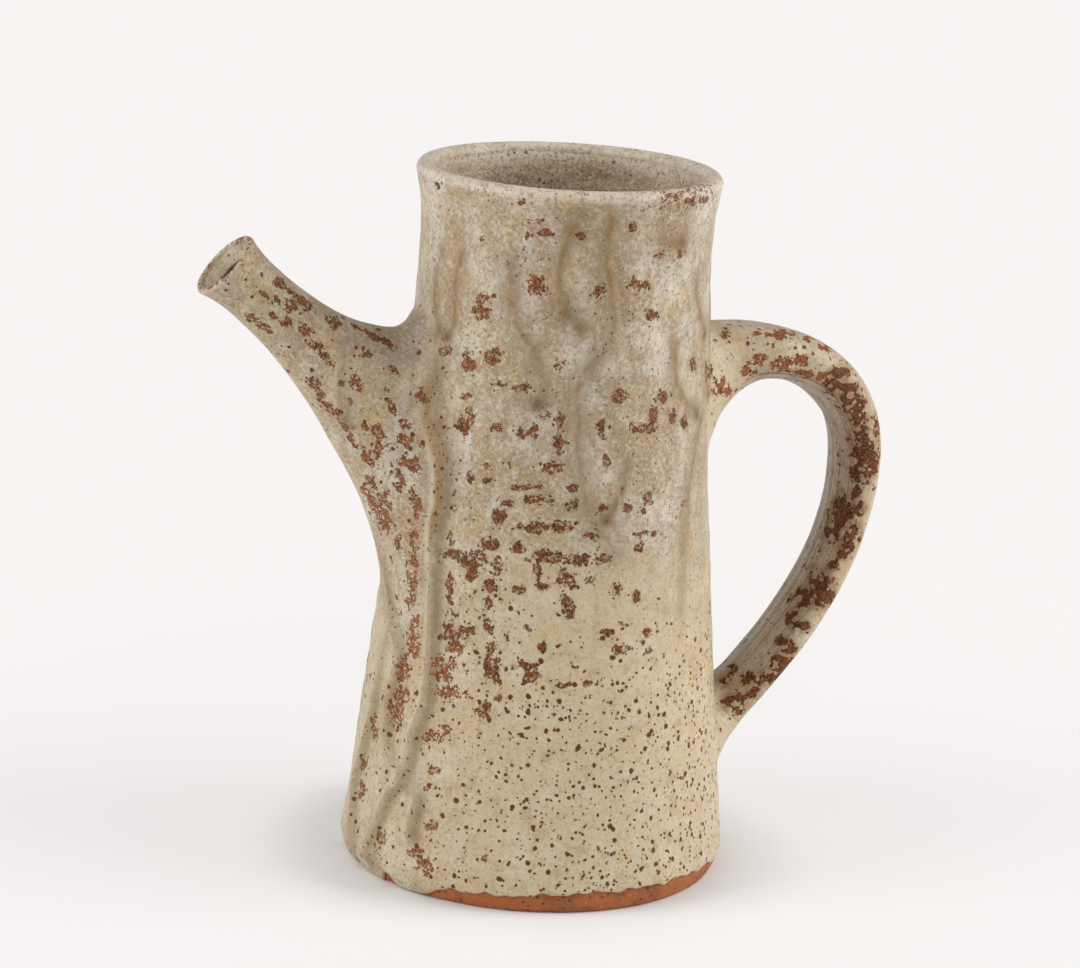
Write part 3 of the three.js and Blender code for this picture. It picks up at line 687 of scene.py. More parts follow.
def makeBodyClay():
    cornerTop = thrown["floorThickness"] + thrown["floorCorner"]
    inner = [(insideRadius(z), z) for z in np.linspace(lipHeight, cornerTop, 40)]
    corner = bezier([inner[-1], (insideRadius(thrown["floorThickness"]), thrown["floorThickness"]),
                     (inner[-1][0] - thrown["floorCorner"], thrown["floorThickness"])], 9)[1:]
    profile = [(0, 0)] + [(r, 0) for r in np.linspace(8, thrown["footRadius"] - 1.2, 16)]
    profile += [(thrown["footRadius"] - 0.3, 0.25)] + [tuple(p) for p in footEdge[2:]]
    profile += [(clayRadius(z), z) for z in np.linspace(thrown["baseHeight"] + 1, lipHeight, 60)]
    profile += overLip(0, 11) + inner + [tuple(p) for p in corner] + [(0, thrown["floorThickness"])]
    clay = turnedForm("body_clay", profile, 240, False)
    places, normals = vertexValues(clay)
    outside = (np.hypot(places[:, 0], places[:, 1]) > thrown["footRadius"] - 1) & (places[:, 2] > 0.1)
    rough = noiseAt(places, 3, 1) * 0.12 + noiseAt(places, 12, 2) * 0.15
    setPlaces(clay, places + normals * (rough * outside * (1 - smooth(places[:, 2], 7, 9)))[:, None])
    cutPassage(clay)
    clay.data.shade_smooth()
    carry(clay, "body")
    return clay


def makeLiner():
    top = lipHeight - 0.05
    floor = thrown["floorThickness"]

    def side(offset, rows):
        heights = np.linspace(top, floor + thrown["floorCorner"], rows)
        wall = [(insideRadius(z) - offset, z) for z in heights]
        corner = bezier([wall[-1], (wall[-1][0] - 0.5, floor + offset),
                         (wall[-1][0] - thrown["floorCorner"], floor + offset)], 9)[1:]
        return wall + [tuple(p) for p in corner] + [(0, floor + offset)]

    front = side(glazeOffset + 0.03, 90)
    liner = turnedForm("liner_coat", front[::-1] + side(thrown["bond"], 16), 240, False)
    places, normals = vertexValues(liner)
    front = np.hypot(places[:, 0], places[:, 1]) < insideRadius(places[:, 2]) - 0.75
    swirl = np.sin((places[:, 2] + noiseAt(places, 40, 3) * 3) * 2 * math.pi / 13) * 0.12
    relief = (swirl + noiseAt(places, 20) * 0.2) * front * smooth(places[:, 2], 22, 34)
    setPlaces(liner, places + normals * relief[:, None])
    cutPassage(liner)
    liner.data.shade_smooth()
    places = vertexValues(liner)[0]
    setMask(liner, "brim", smooth(places[:, 2], lipHeight - 6, lipHeight) * 0.75)
    carry(liner, "liner_glaze")
    return liner


bodyClay = makeBodyClay()
liner = makeLiner()
print("body clay and liner made")


def filletRows(points, middles, wall, reach, spread, straightRows, filletSteps):
    # runs each line of places towards the wall, then round a fillet until it lies on the wall
    turn = np.linspace(0, math.pi / 2, filletSteps + 1)
    rows = np.zeros((straightRows + filletSteps + 1, points.shape[1], 3))
    place = np.arange(len(points), dtype=float)

    def between(values, where):
        return np.stack([np.interp(where, place, values[:, axis]) for axis in range(3)], 1)

    for line in range(points.shape[1]):
        gaps = np.append(reach[line] * (1 - np.sin(turn)), -0.6)
        spreads = np.append(spread[line] * (1 - np.cos(turn)), spread[line] * 1.12)
        p = points[:, line]
        apart = np.minimum.accumulate(np.hypot(p[:, 0], p[:, 1]) - clayRadius(p[:, 2]) - wall)
        start = float(np.interp(-reach[line], -apart, place))
        curved = np.interp(-np.clip(gaps[1:], 0, None), -apart, place)
        where = np.concatenate([np.linspace(0, start, straightRows), curved])
        here, middle = between(p, where), between(middles, where)
        away = (here - middle)[straightRows:]
        here[straightRows:] += away / np.linalg.norm(away, axis=1)[:, None] * spreads[1:, None]
        ends = here[straightRows:]
        outTo = clayRadius(ends[:, 2]) + wall + gaps[1:]
        ends[:, :2] *= (outTo / np.hypot(ends[:, 0], ends[:, 1]))[:, None]
        rows[:, line] = here
    return rows


def spoutHalf(place, atRoot):
    throat, end = spoutForm["throatRadius"], spoutForm["throatPlace"]
    back = np.clip(1 - np.clip(place, 0, 1) / end, 0, 1)
    on = np.clip((place - end) / (1 - end), 0, 1)
    flare = (spoutForm["mouthRadius"] - throat) * on ** spoutForm["flare"]
    return throat + (atRoot - throat) * back ** spoutForm["taper"] + flare


def spoutRing(place, grow, angles):
    along = min(max(place, 0), 1)
    tilt = math.radians(spoutForm["pitch"]) * (1 - (1 - along) ** spoutForm["curl"])
    facing = np.array([-math.cos(tilt), 0, math.sin(tilt)])
    up = np.array([math.sin(tilt), 0, math.cos(tilt)])
    middle = saddle + (mouth - saddle) * along + [0, 0, spoutForm["lift"] * math.sin(math.pi * along)]
    if place < 0:
        middle = middle + np.array([-place * spoutLength, 0, 0])
    if place > 1:
        middle = middle + facing * (place - 1) * spoutLength
    tall = float(spoutHalf(place, spoutForm["rootTall"] / 2)) + grow
    wide = float(spoutHalf(place, spoutForm["rootWide"] / 2)) + grow
    ring = middle + np.cos(angles)[:, None] * up * tall
    ring[:, 1] += np.sin(angles) * wide
    return ring, middle


def spoutSheet(offset, lipInside, insideWall):
    # outside from the fillet on the wall to the lip, then down the funnel into the hollow
    angles = np.linspace(0, 2 * math.pi, spoutForm["sides"] + 1)
    lipHalf = (offset + lipInside) / 2
    brow = 1 + (offset - lipHalf) / spoutLength
    rings = [spoutRing(place, offset, angles) for place in np.linspace(brow, -0.35, 900)]
    low = (1 - np.cos(angles)) / 2
    reach, spread = [a + (b - a) * low for a, b in (spoutForm["filletReach"], spoutForm["filletSpread"])]
    outer = filletRows(
        np.array([r[0] for r in rings]), np.array([r[1] for r in rings]), offset, reach, spread,
        spoutForm["rows"], spoutForm["filletSteps"],
    )
    lip = []
    for turn in np.linspace(0, math.pi, 9)[1:-1]:
        place = brow + math.sin(turn) * lipHalf / spoutLength
        lip.append(spoutRing(place, offset - lipHalf * (1 - math.cos(turn)), angles)[0])
    inside = []
    for place in np.concatenate([np.linspace(brow, 0.93, 28), np.linspace(0.92, -0.02, 44)]):
        wall = insideWall + (lipInside - insideWall) * smooth(place, *spoutForm["dish"])
        inside.append(spoutRing(place, -float(wall), angles)[0])
    return np.concatenate([outer[::-1], np.array(lip), np.array(inside)]), len(outer)


def makeSpout():
    places, lipRow = spoutSheet(glazeOffset, spoutForm["lip"] - glazeOffset, spoutForm["wall"] + glazeOffset)
    edge = np.zeros(places.shape[:2])
    pastLip = np.arange(len(places)) - lipRow - 3
    edge[:] = np.maximum(1.1 * np.exp(-((pastLip / 4.0) ** 2)), 0.72 * (pastLip > 0))[:, None]
    glaze = wrappedForm("spout_glaze_coat", places, edge)
    here, normals = vertexValues(glaze)
    apart = np.hypot(here[:, 0], here[:, 1]) - glazedRadius(here[:, 2])
    relief = glazeRelief(here) * 0.8 + foldMask(here) * spoutForm["foldRise"]
    setPlaces(glaze, here + normals * (relief * smooth(apart, -0.6, 1.2))[:, None])
    glazeMarks(glaze, 23, lambda p: 0.35 + noiseAt(p, 18, 6) * 0.35, lambda p: np.full(len(p), 0.12))
    here, normals = vertexValues(glaze)
    axis = (mouth - spoutRing(0.9, 0, np.zeros(1))[1])
    axis /= np.linalg.norm(axis)
    depth = (mouth - here) @ axis
    fromAxis = np.linalg.norm(here - mouth + depth[:, None] * axis, axis=1)
    within = (depth < 45) * (fromAxis < spoutForm["throatRadius"] + 1 - 0.35 * np.clip(depth, 0, 8))
    # olive over the run halos, along the folds and inside the funnel; along the folds it is painted shade
    setMask(glaze, "stain", np.maximum(np.maximum(runMasks(here)[2], foldMask(here) * 0.5), within * 0.6))
    # the deep bore of the spout is painted near-black: painted shade down the hole
    setMask(glaze, "bore", within * smooth(depth, *spoutForm["boreDepth"]))
    coat = glaze.modifiers.new("coat", "SOLIDIFY")
    coat.thickness, coat.offset = 0.5 * mm, -1
    carry(glaze, "spout_glaze")

    clay = wrappedForm("spout_clay", spoutSheet(0.25, 0.3, spoutForm["wall"] - 0.3)[0][:: 2, :: 3])
    core = clay.modifiers.new("core", "SOLIDIFY")
    core.thickness, core.offset = 0.25 * mm, -1
    carry(clay, "spout")
    return glaze, clay


spoutGlaze, spoutClay = makeSpout()
print("spout made,", len(spoutGlaze.data.vertices), "vertices")

# handle: a pulled strap, thick at its upper root, that bows out and runs in low on the wall
strapForm = {
    "topDrop": 63.7, "bottomHeight": 37.3, "bowDrop": 98.0, "standoff": 57.3, "lift": 12.0, "slope": 46.0,
    "fullness": 0.61, "shoulder": 0.83, "hang": 0.41, "run": 0.4, "width": 24.0, "thickness": 9.3,
    "topThickness": 13.8, "thinning": (0.16, 0.78), "rootThickness": 18.4, "rootShare": 0.19,
    "squareness": 2.7, "rootDepth": 14.0, "reachOver": 7.0, "spreadOver": 2.4, "reachUnder": 24.3,
    "spreadUnder": 26.4, "lowFillet": (14.5, 11.0), "sides": 96, "rows": 90, "filletSteps": 20, "ridge": 1.1,
}


def strapLine(count):
    top = thrown["jugHeight"] - strapForm["topDrop"]
    bow = thrown["jugHeight"] - strapForm["bowDrop"]
    low = strapForm["bottomHeight"]
    bowOut = clayRadius(bow) + strapForm["standoff"]
    start = clayRadius(top) - strapForm["rootDepth"] / 4
    end = clayRadius(low) - strapForm["rootDepth"] / 4
    drop = bow - low
    slope = math.radians(strapForm["slope"])
    run = drop * strapForm["run"]
    upper = bezier(
        [(start, top), (start + (bowOut - start) * strapForm["fullness"], top + strapForm["lift"]),
         (bowOut, bow + (top - bow) * strapForm["shoulder"]), (bowOut, bow)], count
    )
    lower = bezier(
        [(bowOut, bow), (bowOut, bow - drop * strapForm["hang"]),
         (end + math.cos(slope) * run, low + math.sin(slope) * run), (end, low)], count
    )
    return np.concatenate([upper, lower[1:]])


def strapSheet(offset):
    # sections square to the line, which runs on into the wall at both ends
    count = 300
    line = strapLine(count)
    along = np.gradient(line, axis=0)
    along /= np.linalg.norm(along, axis=1)[:, None]
    runOn = np.linspace(0, strapForm["rootDepth"], 40)[1:, None]
    line = np.concatenate([line[0] - along[0] * runOn[::-1], line, line[-1] + along[-1] * runOn])
    along = np.concatenate([np.repeat(along[:1], 39, 0), along, np.repeat(along[-1:], 39, 0)])
    share = np.clip((np.arange(len(line)) - 39) / (2 * count - 2), 0, 1)
    thinned = smooth(share, *strapForm["thinning"])
    thick = strapForm["topThickness"] + (strapForm["thickness"] - strapForm["topThickness"]) * thinned
    swell = strapForm["rootThickness"] - strapForm["topThickness"]
    thick += swell * (1 - smooth(share, 0, strapForm["rootShare"]))
    angles = np.linspace(0, 2 * math.pi, strapForm["sides"] + 1)
    c, s = np.cos(angles), np.sin(angles)
    power = 2 / strapForm["squareness"]
    outward, across = np.sign(c) * np.abs(c) ** power, np.sign(s) * np.abs(s) ** power
    # the inner face has a soft ridge down its middle, left by the potter's fingers
    ridge = smooth(-c, 0.2, 0.7) * (np.exp(-((across / 0.3) ** 2)) - 0.45) * strapForm["ridge"]
    fade = (smooth(share, 0.12, 0.34) * (1 - 0.4 * smooth(share, 0.85, 1)))[:, None]
    out = outward[None] * (thick[:, None] / 2 + offset) - ridge[None] * fade
    rings = np.zeros((len(line), len(angles), 3))
    rings[:, :, 0] = line[:, None, 0] - along[:, None, 1] * out
    rings[:, :, 1] = across[None] * (strapForm["width"] / 2 + offset)
    rings[:, :, 2] = line[:, None, 1] + along[:, None, 0] * out
    middles = np.stack([line[:, 0], np.zeros(len(line)), line[:, 1]], 1)
    half = 39 + count - 1

    # the upper root is tucked in tightly above and thumbed out wide below
    over, plain = (1 + c) / 2, np.ones(len(angles))
    reach = strapForm["reachUnder"] + (strapForm["reachOver"] - strapForm["reachUnder"]) * over
    spread = strapForm["spreadUnder"] + (strapForm["spreadOver"] - strapForm["spreadUnder"]) * over
    spread *= 0.6 + 0.4 * np.abs(c)
    fine = (strapForm["rows"], strapForm["filletSteps"])
    up = filletRows(rings[half::-1], middles[half::-1], offset, reach, spread, *fine)
    lowReach, lowSpread = strapForm["lowFillet"]
    down = filletRows(rings[half:], middles[half:], offset, lowReach * plain, lowSpread * plain, *fine)
    return np.concatenate([up[:0:-1], down])


def makeHandle():
    places = strapSheet(glazeOffset)
    glaze = wrappedForm("handle_glaze_coat", places)
    here, normals = vertexValues(glaze)
    apart = np.hypot(here[:, 0], here[:, 1]) - glazedRadius(here[:, 2])
    line = strapLine(300)
    offX, offZ = here[:, None, 0] - line[None, ::6, 0], here[:, None, 2] - line[None, ::6, 1]
    nearest = np.argmin(np.hypot(offX, offZ), axis=1) * 6
    outward = here[:, [0, 2]] - line[nearest]
    along = np.gradient(line, axis=0)[nearest]
    out = (outward[:, 1] * along[:, 0] - outward[:, 0] * along[:, 1]) / np.linalg.norm(along, axis=1)
    setPlaces(glaze, here + normals * (glazeRelief(here) * smooth(apart, -0.6, 1.2))[:, None])
    glazeMarks(glaze, 31, lambda p: 0.8 + noiseAt(p, 18, 6) * 0.3, lambda p: np.full(len(p), 0.25))
    inner = smooth(-out, 1.5, 4.5) * smooth(apart, 6, 22)
    setMask(glaze, "across", here[:, 1] / strapForm["width"])
    setMask(glaze, "islands", np.ones(len(here)))
    # the low part of the strap's inner face, which is lit less, takes less lilac and a frost bloom: painted
    # light
    low = smooth(-here[:, 2], -110, -60)
    setMask(glaze, "smudge", inner * (0.75 + 0.25 * noiseAt(here, 12, 3)) * (1 - 0.6 * low))
    setMask(glaze, "streak", inner)
    setMask(glaze, "bloom", inner * low)
    brink = np.exp(-(((np.abs(here[:, 1]) - strapForm["width"] / 2) / 1.6) ** 2)) * smooth(out, 0, 3)
    setMask(glaze, "edge", brink * (0.3 + 0.6 * low))
    coat = glaze.modifiers.new("coat", "SOLIDIFY")
    coat.thickness, coat.offset = 0.5 * mm, -1
    carry(glaze, "handle_glaze")

    clay = wrappedForm("handle_clay", strapSheet(0.25)[:: 2, :: 3])
    bm = bmesh.new()
    bm.from_mesh(clay.data)
    bmesh.ops.holes_fill(bm, edges=[e for e in bm.edges if e.is_boundary])
    bmesh.ops.recalc_face_normals(bm, faces=bm.faces)
    bm.to_mesh(clay.data)
    bm.free()
    carry(clay, "handle")
    return glaze, clay


handleGlaze, handleClay = makeHandle()
print("handle made,", len(handleGlaze.data.vertices), "vertices")


def tint(red, green, blue):
    # a colour as it is seen, from 0 to 255, as the shader takes it
    seen = [c / 255 for c in (red, green, blue)]
    return tuple(c / 12.92 if c < 0.04045 else ((c + 0.055) / 1.055) ** 2.4 for c in seen) + (1,)


def shaderTools(name):
    material = bpy.data.materials.new(name)
    material.use_nodes = True
    tree = material.node_tree

    def add(kind, inputs, **settings):
        node = tree.nodes.new("ShaderNode" + kind)
        for key, value in settings.items():
            setattr(node, key, value)
        for key, value in inputs.items():
            if isinstance(value, bpy.types.NodeSocket):
                tree.links.new(value, node.inputs[key])
            else:
                node.inputs[key].default_value = value
        return node

    class Tools:
        pass

    tools = Tools()
    tools.material = material
    tools.add = add
    tools.place = add("TexCoord", {}).outputs["Object"]
    tools.mask = lambda mask: add("Attribute", {}, attribute_name=mask).outputs["Fac"]
    tools.noise = lambda scale, detail=2, rough=0.5, at=None: add(
        "TexNoise", {"Vector": at or tools.place, "Scale": scale, "Detail": detail, "Roughness": rough}
    ).outputs["Fac"]
    tools.math = lambda operation, a, b: add("Math", {0: a, 1: b}, operation=operation).outputs[0]
    tools.times = lambda a, b: tools.math("MULTIPLY", a, b)
    tools.plus = lambda a, b: tools.math("ADD", a, b)
    tools.minus = lambda a, b: tools.math("SUBTRACT", a, b)
    tools.most = lambda a, b: tools.math("MAXIMUM", a, b)
    tools.step = lambda value, low, high, start=0.0, end=1.0: add(
        "MapRange", {"Value": value, "From Min": low, "From Max": high, "To Min": start, "To Max": end},
        interpolation_type="SMOOTHSTEP",
    ).outputs[0]
    tools.mix = lambda share, a, b: add("Mix", {0: share, 6: a, 7: b}, data_type="RGBA").outputs[2]
    tools.surface = tree.nodes["Principled BSDF"]

    def finish(colour, roughness, height, distance):
        tree.links.new(colour, tools.surface.inputs["Base Color"])
        tree.links.new(roughness, tools.surface.inputs["Roughness"])
        bump = add("Bump", {"Height": height, "Distance": distance, "Strength": 1.0})
        tree.links.new(bump.outputs[0], tools.surface.inputs["Normal"])

    tools.finish = finish
    return tools


def spots(t, scale, chosen, radius, at, soft=0.06):
    # round specks: cells picked by chance, each with a size of its own
    cells = t.add("TexVoronoi", {"Vector": at, "Scale": scale})
    parts = t.add("SeparateColor", {"Color": cells.outputs["Color"]})
    size = t.step(parts.outputs[1], 0.0, 1.0, radius * 0.5, radius * 1.15)
    inner = t.minus(size, soft)
    round_ = t.step(cells.outputs["Distance"], size, inner)
    return t.times(round_, t.math("LESS_THAN", parts.outputs[0], chosen))


dryGloss = 0.28  # an ash glaze has little gloss
# lee is a painted shade colour for the shaded side of the runs
ashGlaze = {
    "cream": (196, 177, 143), "stone": (165, 145, 119), "cloud": (190, 181, 165), "frost": (208, 199, 181),
    "milk": (209, 198, 171), "honey": (196, 166, 108), "ochre": (162, 135, 88), "olive": (133, 110, 78),
    "shade": (144, 118, 89), "gold": (140, 103, 52), "iron": (62, 34, 11), "rust": (112, 62, 28),
    "ember": (160, 98, 58), "dot": (94, 50, 10), "pepper": (78, 46, 22), "lilac": (166, 146, 131),
    "vein": (118, 98, 86), "tan": (174, 149, 113), "lee": (145, 127, 96), "crest": (212, 197, 180),
    "paintedBoreShade": (46, 26, 12), "umber": (100, 76, 44), "singe": (142, 103, 68),
}


def makeAshGlaze():
    t = shaderTools("ashGlaze")
    c = {name: tint(*colour) for name, colour in ashGlaze.items()}
    run, stain, iron = t.mask("run"), t.mask("stain"), t.mask("iron")
    warm, dots, edge, smudge = t.mask("warm"), t.mask("dots"), t.mask("edge"), t.mask("smudge")
    cool = t.step(warm, 1.0, 0.15)
    hanging = t.add("Mapping", {"Vector": t.place, "Scale": (1, 1, 0.5)}).outputs[0]
    falling = t.add("Mapping", {"Vector": t.place, "Scale": (1, 1, 0.12)}).outputs[0]
    mottle = t.noise(260, 4, 0.6)
    grain = t.noise(820, 3, 0.6)
    sugar = t.noise(1700, 2, 0.6)

    def wandered(scale, amount, at=None):
        at = at or t.place
        shift = t.add("TexNoise", {"Vector": at, "Scale": scale, "Detail": 2}).outputs["Color"]
        wander = t.add("VectorMath", {0: shift, 1: (0.5, 0.5, 0.5)}, operation="SUBTRACT").outputs[0]
        return t.add("VectorMath", {0: wander, 1: (amount, amount, amount), 2: at},
                     operation="MULTIPLY_ADD").outputs[0]

    # ground: cream below, greige above, with pale clouds parted by warmer valleys
    ground = t.mix(warm, c["stone"], c["cream"])
    clouds = t.noise(95, 4, 0.5, hanging)
    ground = t.mix(t.times(t.step(clouds, 0.48, 0.6, 0.0, 0.85), cool), ground, c["cloud"])
    ground = t.mix(t.times(t.step(clouds, 0.47, 0.34, 0.0, 0.5), cool), ground, c["ochre"])
    cells = t.add("TexVoronoi", {"Vector": wandered(60, 0.012, hanging), "Scale": 66.0},
                  feature="DISTANCE_TO_EDGE").outputs["Distance"]
    valleys = t.times(t.step(cells, 0.16, 0.0, 0.0, 0.75), cool)
    ground = t.mix(t.times(valleys, t.step(mottle, 0.35, 0.6)), ground, c["shade"])
    ground = t.mix(t.step(t.noise(120, 4, 0.6, falling), 0.54, 0.74, 0.0, 0.25), ground, c["shade"])
    blush = t.noise(58, 4, 0.6)
    ground = t.mix(t.step(blush, 0.56, 0.72, 0.0, 0.5), ground, c["honey"])
    ground = t.mix(t.step(blush, 0.46, 0.3, 0.0, 0.5), ground, c["milk"])
    ground = t.mix(t.step(mottle, 0.5, 0.68, 0.0, 0.4), ground, c["cloud"])
    patches = t.noise(170, 4, 0.6)
    ground = t.mix(t.step(patches, 0.53, 0.66, 0.0, 0.6), ground, c["tan"])
    ground = t.mix(t.step(patches, 0.45, 0.34, 0.0, 0.35), ground, c["frost"])

    # bloom: pale clouds and honey pools in the glaze, and painted light on the strap's low inner face
    bloom = t.mask("bloom")
    ground = t.mix(t.times(t.step(bloom, 0.0, 1.0), t.step(mottle, 0.4, 0.58, 0.15, 0.8)), ground, c["frost"])
    ground = t.mix(t.times(t.step(bloom, 0.0, -1.0), t.step(mottle, 0.4, 0.6, 0.8, 0.3)), ground, c["honey"])
    ground = t.mix(t.times(t.mask("crest"), t.step(mottle, 0.3, 0.65, 0.45, 0.95)), ground, c["crest"])

    # the fine grain of an ash glaze
    crisp = t.step(warm, 1.0, 0.2, 0.5, 1.05)
    ground = t.mix(t.times(t.step(grain, 0.51, 0.66, 0.0, 0.55), crisp), ground, c["olive"])
    ground = t.mix(t.times(t.step(grain, 0.47, 0.33, 0.0, 0.46), crisp), ground, c["frost"])
    ground = t.mix(t.times(t.step(sugar, 0.53, 0.68, 0.0, 0.42), crisp), ground, c["shade"])
    ground = t.mix(t.times(t.step(sugar, 0.46, 0.33, 0.0, 0.34), crisp), ground, c["frost"])

    # runs: a thin gold core, broken along its length, in a wide smooth olive halo
    halo = t.times(stain, t.step(warm, 0.95, 0.3, 0.3, 1.0))
    ground = t.mix(t.times(halo, t.step(mottle, 0.3, 0.65, 0.4, 0.75)), ground, c["olive"])
    # painted shade down the right side of each run, and painted light in milk down its left side
    lee = t.mask("lee")
    ground = t.mix(t.times(t.step(lee, 0.0, 1.0), t.step(mottle, 0.2, 0.7, 0.35, 0.6)), ground, c["lee"])
    ground = t.mix(t.step(lee, 0.0, -1.0, 0.0, 0.45), ground, c["milk"])
    golden = t.times(run, t.step(t.noise(210, 4, 0.6), 0.4, 0.62, 0.2, 0.95))
    ground = t.mix(t.times(golden, t.step(warm, 0.9, 0.2)), ground, c["gold"])

    ground = t.mix(t.times(t.mask("pool"), t.step(mottle, 0.3, 0.65, 0.55, 0.85)), ground, c["umber"])

    # smudges and, along the strap's inner face, streaks that run its length
    streakAt = t.plus(t.times(t.mask("across"), 9.0), t.times(t.noise(30, 2), 0.8))
    streaks = t.add("TexNoise", {"W": streakAt, "Scale": 3.0, "Detail": 4},
                    noise_dimensions="1D").outputs["Fac"]
    ground = t.mix(t.times(smudge, t.step(mottle, 0.3, 0.6, 0.55, 0.95)), ground, c["lilac"])
    streaked = t.mask("streak")
    ground = t.mix(t.times(streaked, t.step(streaks, 0.53, 0.64, 0.0, 0.8)), ground, c["vein"])
    ground = t.mix(t.times(streaked, t.step(streaks, 0.46, 0.34, 0.0, 0.85)), ground, c["crest"])
    ground = t.mix(t.times(smudge, t.step(patches, 0.54, 0.64, 0.0, 0.6)), ground, c["vein"])
    ground = t.mix(t.times(smudge, t.step(grain, 0.46, 0.34, 0.0, 0.6)), ground, c["frost"])

    lace = t.mask("lace")
    singed = t.times(t.mask("islands"), t.step(iron, 0.0, 0.4, 0.0, 0.75))
    singed = t.times(singed, t.step(lace, 0.7, 0.2))
    ground = t.mix(t.times(singed, t.step(mottle, 0.35, 0.6, 0.3, 1.0)), ground, c["singe"])

    # specks: fine dark ones in loose clusters, brown dots low on the wall
    bent = wandered(500, 0.0014)
    bunched = t.step(t.noise(75, 3), 0.44, 0.66, 0.03, 0.5)
    pepper = spots(t, 820, t.times(bunched, t.step(warm, 0.9, 0.3, 0.45, 1.0)), 0.33, bent)
    smallDots = spots(t, 580, t.times(dots, 0.75), 0.34, bent, 0.12)
    bigDots = spots(t, 350, t.times(dots, 0.9), 0.34, bent, 0.12)
    ground = t.mix(t.times(pepper, 0.75), ground, c["pepper"])
    ground = t.mix(t.most(smallDots, bigDots), ground, c["dot"])

    # iron: sharp broken blots with bits round them, some drawn out into lace
    ragged = t.times(t.minus(t.noise(380, 4, 0.55), 0.5), 2.8)
    field = t.plus(iron, t.times(ragged, t.step(iron, 0.0, 0.3)))
    blot = t.step(field, 0.48, 0.57)
    mesh = t.add("TexVoronoi", {"Vector": wandered(420, 0.003), "Scale": 620.0},
                 feature="DISTANCE_TO_EDGE").outputs["Distance"]
    strands = t.times(t.step(mesh, 0.18, 0.09), t.step(field, 0.38, 0.48))
    kept = t.step(t.minus(t.noise(620, 3, 0.65), t.times(lace, 0.18)), 0.34, 0.4)
    blot = t.times(blot, t.most(kept, t.mask("islands")))
    strands = t.times(strands, t.step(lace, 0.1, 0.6))
    bits = spots(t, 620, t.step(iron, 0.04, 0.35, 0.0, 0.45), 0.38, bent)
    flecks = t.most(t.most(blot, strands), bits)
    pores = t.times(spots(t, 300, 0.6, 0.4, bent), t.mask("islands"))
    flecks = t.times(flecks, t.minus(1.0, pores))
    inward = t.plus(t.step(field, 0.5, 0.9), lace)
    granules = t.plus(t.noise(900, 3, 0.65), t.times(inward, 0.04))
    ironTone = t.mix(t.step(granules, 0.46, 0.6), c["iron"], c["rust"])
    glow = t.plus(t.noise(1500, 3, 0.7), t.times(lace, 0.13))
    ironTone = t.mix(t.step(glow, 0.56, 0.67, 0.0, 0.9), ironTone, c["ember"])
    slanted = t.add("Mapping", {"Vector": t.place, "Rotation": (0, 0.6, 0), "Scale": (1, 1, 1.8)},
                    vector_type="TEXTURE").outputs[0]
    chipped = t.times(t.minus(t.noise(800, 3, 0.65, slanted), 0.5), 2.2)
    brink = t.step(t.plus(t.times(edge, 0.75), chipped), 0.74, 0.84)
    colour = t.mix(t.times(brink, 0.9), ground, ironTone)
    colour = t.mix(flecks, colour, ironTone)
    # painted shade down the spout's bore
    colour = t.mix(t.times(t.mask("bore"), 0.95), colour, c["paintedBoreShade"])

    rough = t.step(flecks, 0.0, 1.0, 0.42, 0.62)
    islands = t.times(t.times(t.step(cells, 0.0, 0.3), cool), 1.2)
    height = t.plus(t.plus(t.times(grain, 0.4), mottle), islands)
    height = t.minus(height, t.times(flecks, 0.35))
    t.surface.inputs["Specular IOR Level"].default_value = dryGloss
    t.finish(colour, rough, height, 0.0003)
    return t.material


linerColours = {
    "wall": (176, 154, 124), "deep": (132, 108, 78), "ochre": (146, 108, 62), "pale": (194, 181, 162),
    "pepper": (72, 48, 32), "brim": (198, 182, 164),
}


def makeLinerGlaze():
    t = shaderTools("linerGlaze")
    c = {name: tint(*colour) for name, colour in linerColours.items()}
    flat = t.add("Mapping", {"Vector": t.place, "Scale": (1, 1, 3.5)}).outputs[0]
    bands = t.noise(38, 4, 0.6, flat)
    mottle = t.noise(300, 4, 0.65)
    grain = t.noise(1000, 4, 0.7)
    colour = t.mix(t.step(bands, 0.4, 0.65), c["wall"], c["deep"])
    colour = t.mix(t.step(bands, 0.56, 0.7, 0.0, 0.6), colour, c["ochre"])
    colour = t.mix(t.mask("brim"), colour, c["brim"])
    colour = t.mix(t.step(mottle, 0.5, 0.68, 0.0, 0.6), colour, c["pale"])
    colour = t.mix(t.step(grain, 0.5, 0.64, 0.0, 0.95), colour, c["deep"])
    colour = t.mix(t.step(grain, 0.47, 0.34, 0.0, 0.85), colour, c["pale"])
    colour = t.mix(t.times(spots(t, 480, 0.35, 0.28, t.place), 0.85), colour, c["pepper"])
    colour = t.mix(t.times(spots(t, 900, 0.35, 0.3, t.place), 0.7), colour, c["pepper"])
    t.finish(colour, t.step(mottle, 0.3, 0.7, 0.4, 0.52), t.plus(mottle, grain), 0.0003)
    return t.material


stonewareColours = {
    "body": (164, 92, 46), "dark": (110, 60, 33), "pale": (198, 132, 84), "grog": (68, 42, 30),
}


def makeStoneware():
    t = shaderTools("stoneware")
    c = {name: tint(*colour) for name, colour in stonewareColours.items()}
    broad = t.noise(90, 4, 0.6)
    grit = t.noise(900, 4, 0.7)
    colour = t.mix(t.step(broad, 0.45, 0.72, 0.0, 0.8), c["body"], c["dark"])
    colour = t.mix(t.step(grit, 0.52, 0.72, 0.0, 0.7), colour, c["pale"])
    grog = spots(t, 480, 0.4, 0.27, t.place)
    colour = t.mix(t.times(grog, 0.8), colour, c["grog"])
    height = t.minus(t.plus(grit, broad), t.times(grog, 0.4))
    t.finish(colour, t.step(grit, 0.3, 0.7, 0.72, 0.88), height, 0.0005)
    return t.material


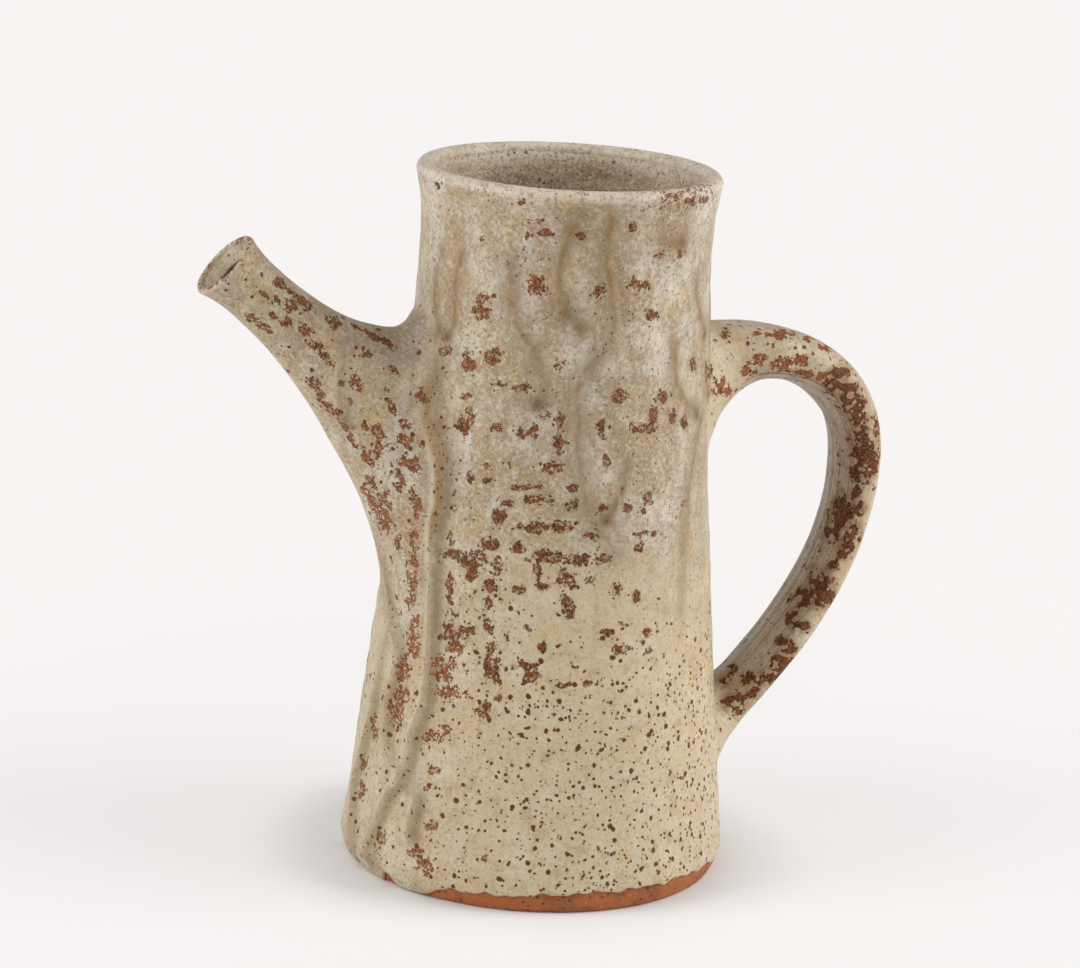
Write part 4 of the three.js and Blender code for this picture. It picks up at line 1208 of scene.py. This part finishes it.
slipColours = {"wet": (160, 96, 58), "dry": (132, 76, 46)}


def makeSlip():
    t = shaderTools("joiningSlip")
    c = {name: tint(*colour) for name, colour in slipColours.items()}
    smear = t.noise(160, 4, 0.6)
    colour = t.mix(t.step(smear, 0.35, 0.65), c["wet"], c["dry"])
    t.finish(colour, t.step(smear, 0.3, 0.7, 0.8, 0.9), smear, 0.0004)
    return t.material


def paint(piece, material):
    piece.data.materials.clear()
    piece.data.materials.append(material)


glazeMaterial = makeAshGlaze()
stoneware = makeStoneware()
slip = makeSlip()
for piece in (bodyGlaze, spoutGlaze, handleGlaze):
    paint(piece, glazeMaterial)
for piece in (bodyClay, spoutClay, handleClay):
    paint(piece, stoneware)
paint(liner, makeLinerGlaze())
for node in ("spout_slip", "handle_upper_slip", "handle_lower_slip"):
    for slot in bpy.data.objects[node].material_slots:
        slot.material = slip
print("materials made")

studio = {"floor": (0.86, 0.855, 0.85), "seen": (249, 245, 244), "world": 0.5, "sky": (0.97, 0.985, 1, 1),
          "rings": (0.066, 0.1, 0.4), "shares": (0.0, 0.58, 0.39)}


def makeFloor():
    bm = bmesh.new()
    bmesh.ops.create_grid(bm, x_segments=1, y_segments=1, size=8)
    floor = newObject("floor", bm)
    t = shaderTools("paperFloor")
    tree = t.material.node_tree
    t.surface.inputs["Base Color"].default_value = (*studio["floor"], 1)
    t.surface.inputs["Roughness"].default_value = 0.9
    glow = t.add("Emission", {"Color": tint(*studio["seen"]), "Strength": 1.0})
    rays = t.add("LightPath", {})
    direct = t.most(rays.outputs["Is Camera Ray"], rays.outputs["Is Glossy Ray"])
    direct = t.most(direct, rays.outputs["Is Transmission Ray"])
    # the shadow stays round the jug, and the sheet further off is seen as plain pale paper
    apart = t.add("VectorMath", {0: t.place}, operation="LENGTH").outputs["Value"]
    near, middle, far = studio["rings"]
    nearShare, middleShare, farShare = studio["shares"]
    share = t.step(apart, near, middle, nearShare, middleShare)
    share = t.times(direct, t.plus(share, t.step(apart, middle, far, 0.0, farShare)))
    both = t.add("MixShader", {0: share, 1: t.surface.outputs[0], 2: glow.outputs[0]})
    tree.links.new(both.outputs[0], tree.nodes["Material Output"].inputs["Surface"])
    paint(floor, t.material)


# soft boxes: where each stands, in metres, its size and its power
softBoxes = {"rightBox": ((1.25, -0.55, 0.75), 0.9, 17), "leftBox": ((-1.35, -0.1, 0.7), 0.8, 13)}
aim = Vector((0, 0, 0.12))


def softBox(name, place, size, power):
    data = bpy.data.lights.new(name, "AREA")
    data.size = size
    data.energy = power
    lamp = bpy.data.objects.new(name, data)
    lamp.location = place
    lamp.rotation_euler = (aim - Vector(place)).to_track_quat("-Z", "Y").to_euler()
    bpy.context.scene.collection.objects.link(lamp)


makeFloor()
for name, box in softBoxes.items():
    softBox(name, *box)
world = bpy.data.worlds.new("studio")
bpy.context.scene.world = world
world.use_nodes = True
sky = world.node_tree.nodes["Background"]
sky.inputs["Color"].default_value = studio["sky"]
sky.inputs["Strength"].default_value = studio["world"]
bpy.context.scene.view_settings.view_transform = "Standard"
print("floor and lights made")
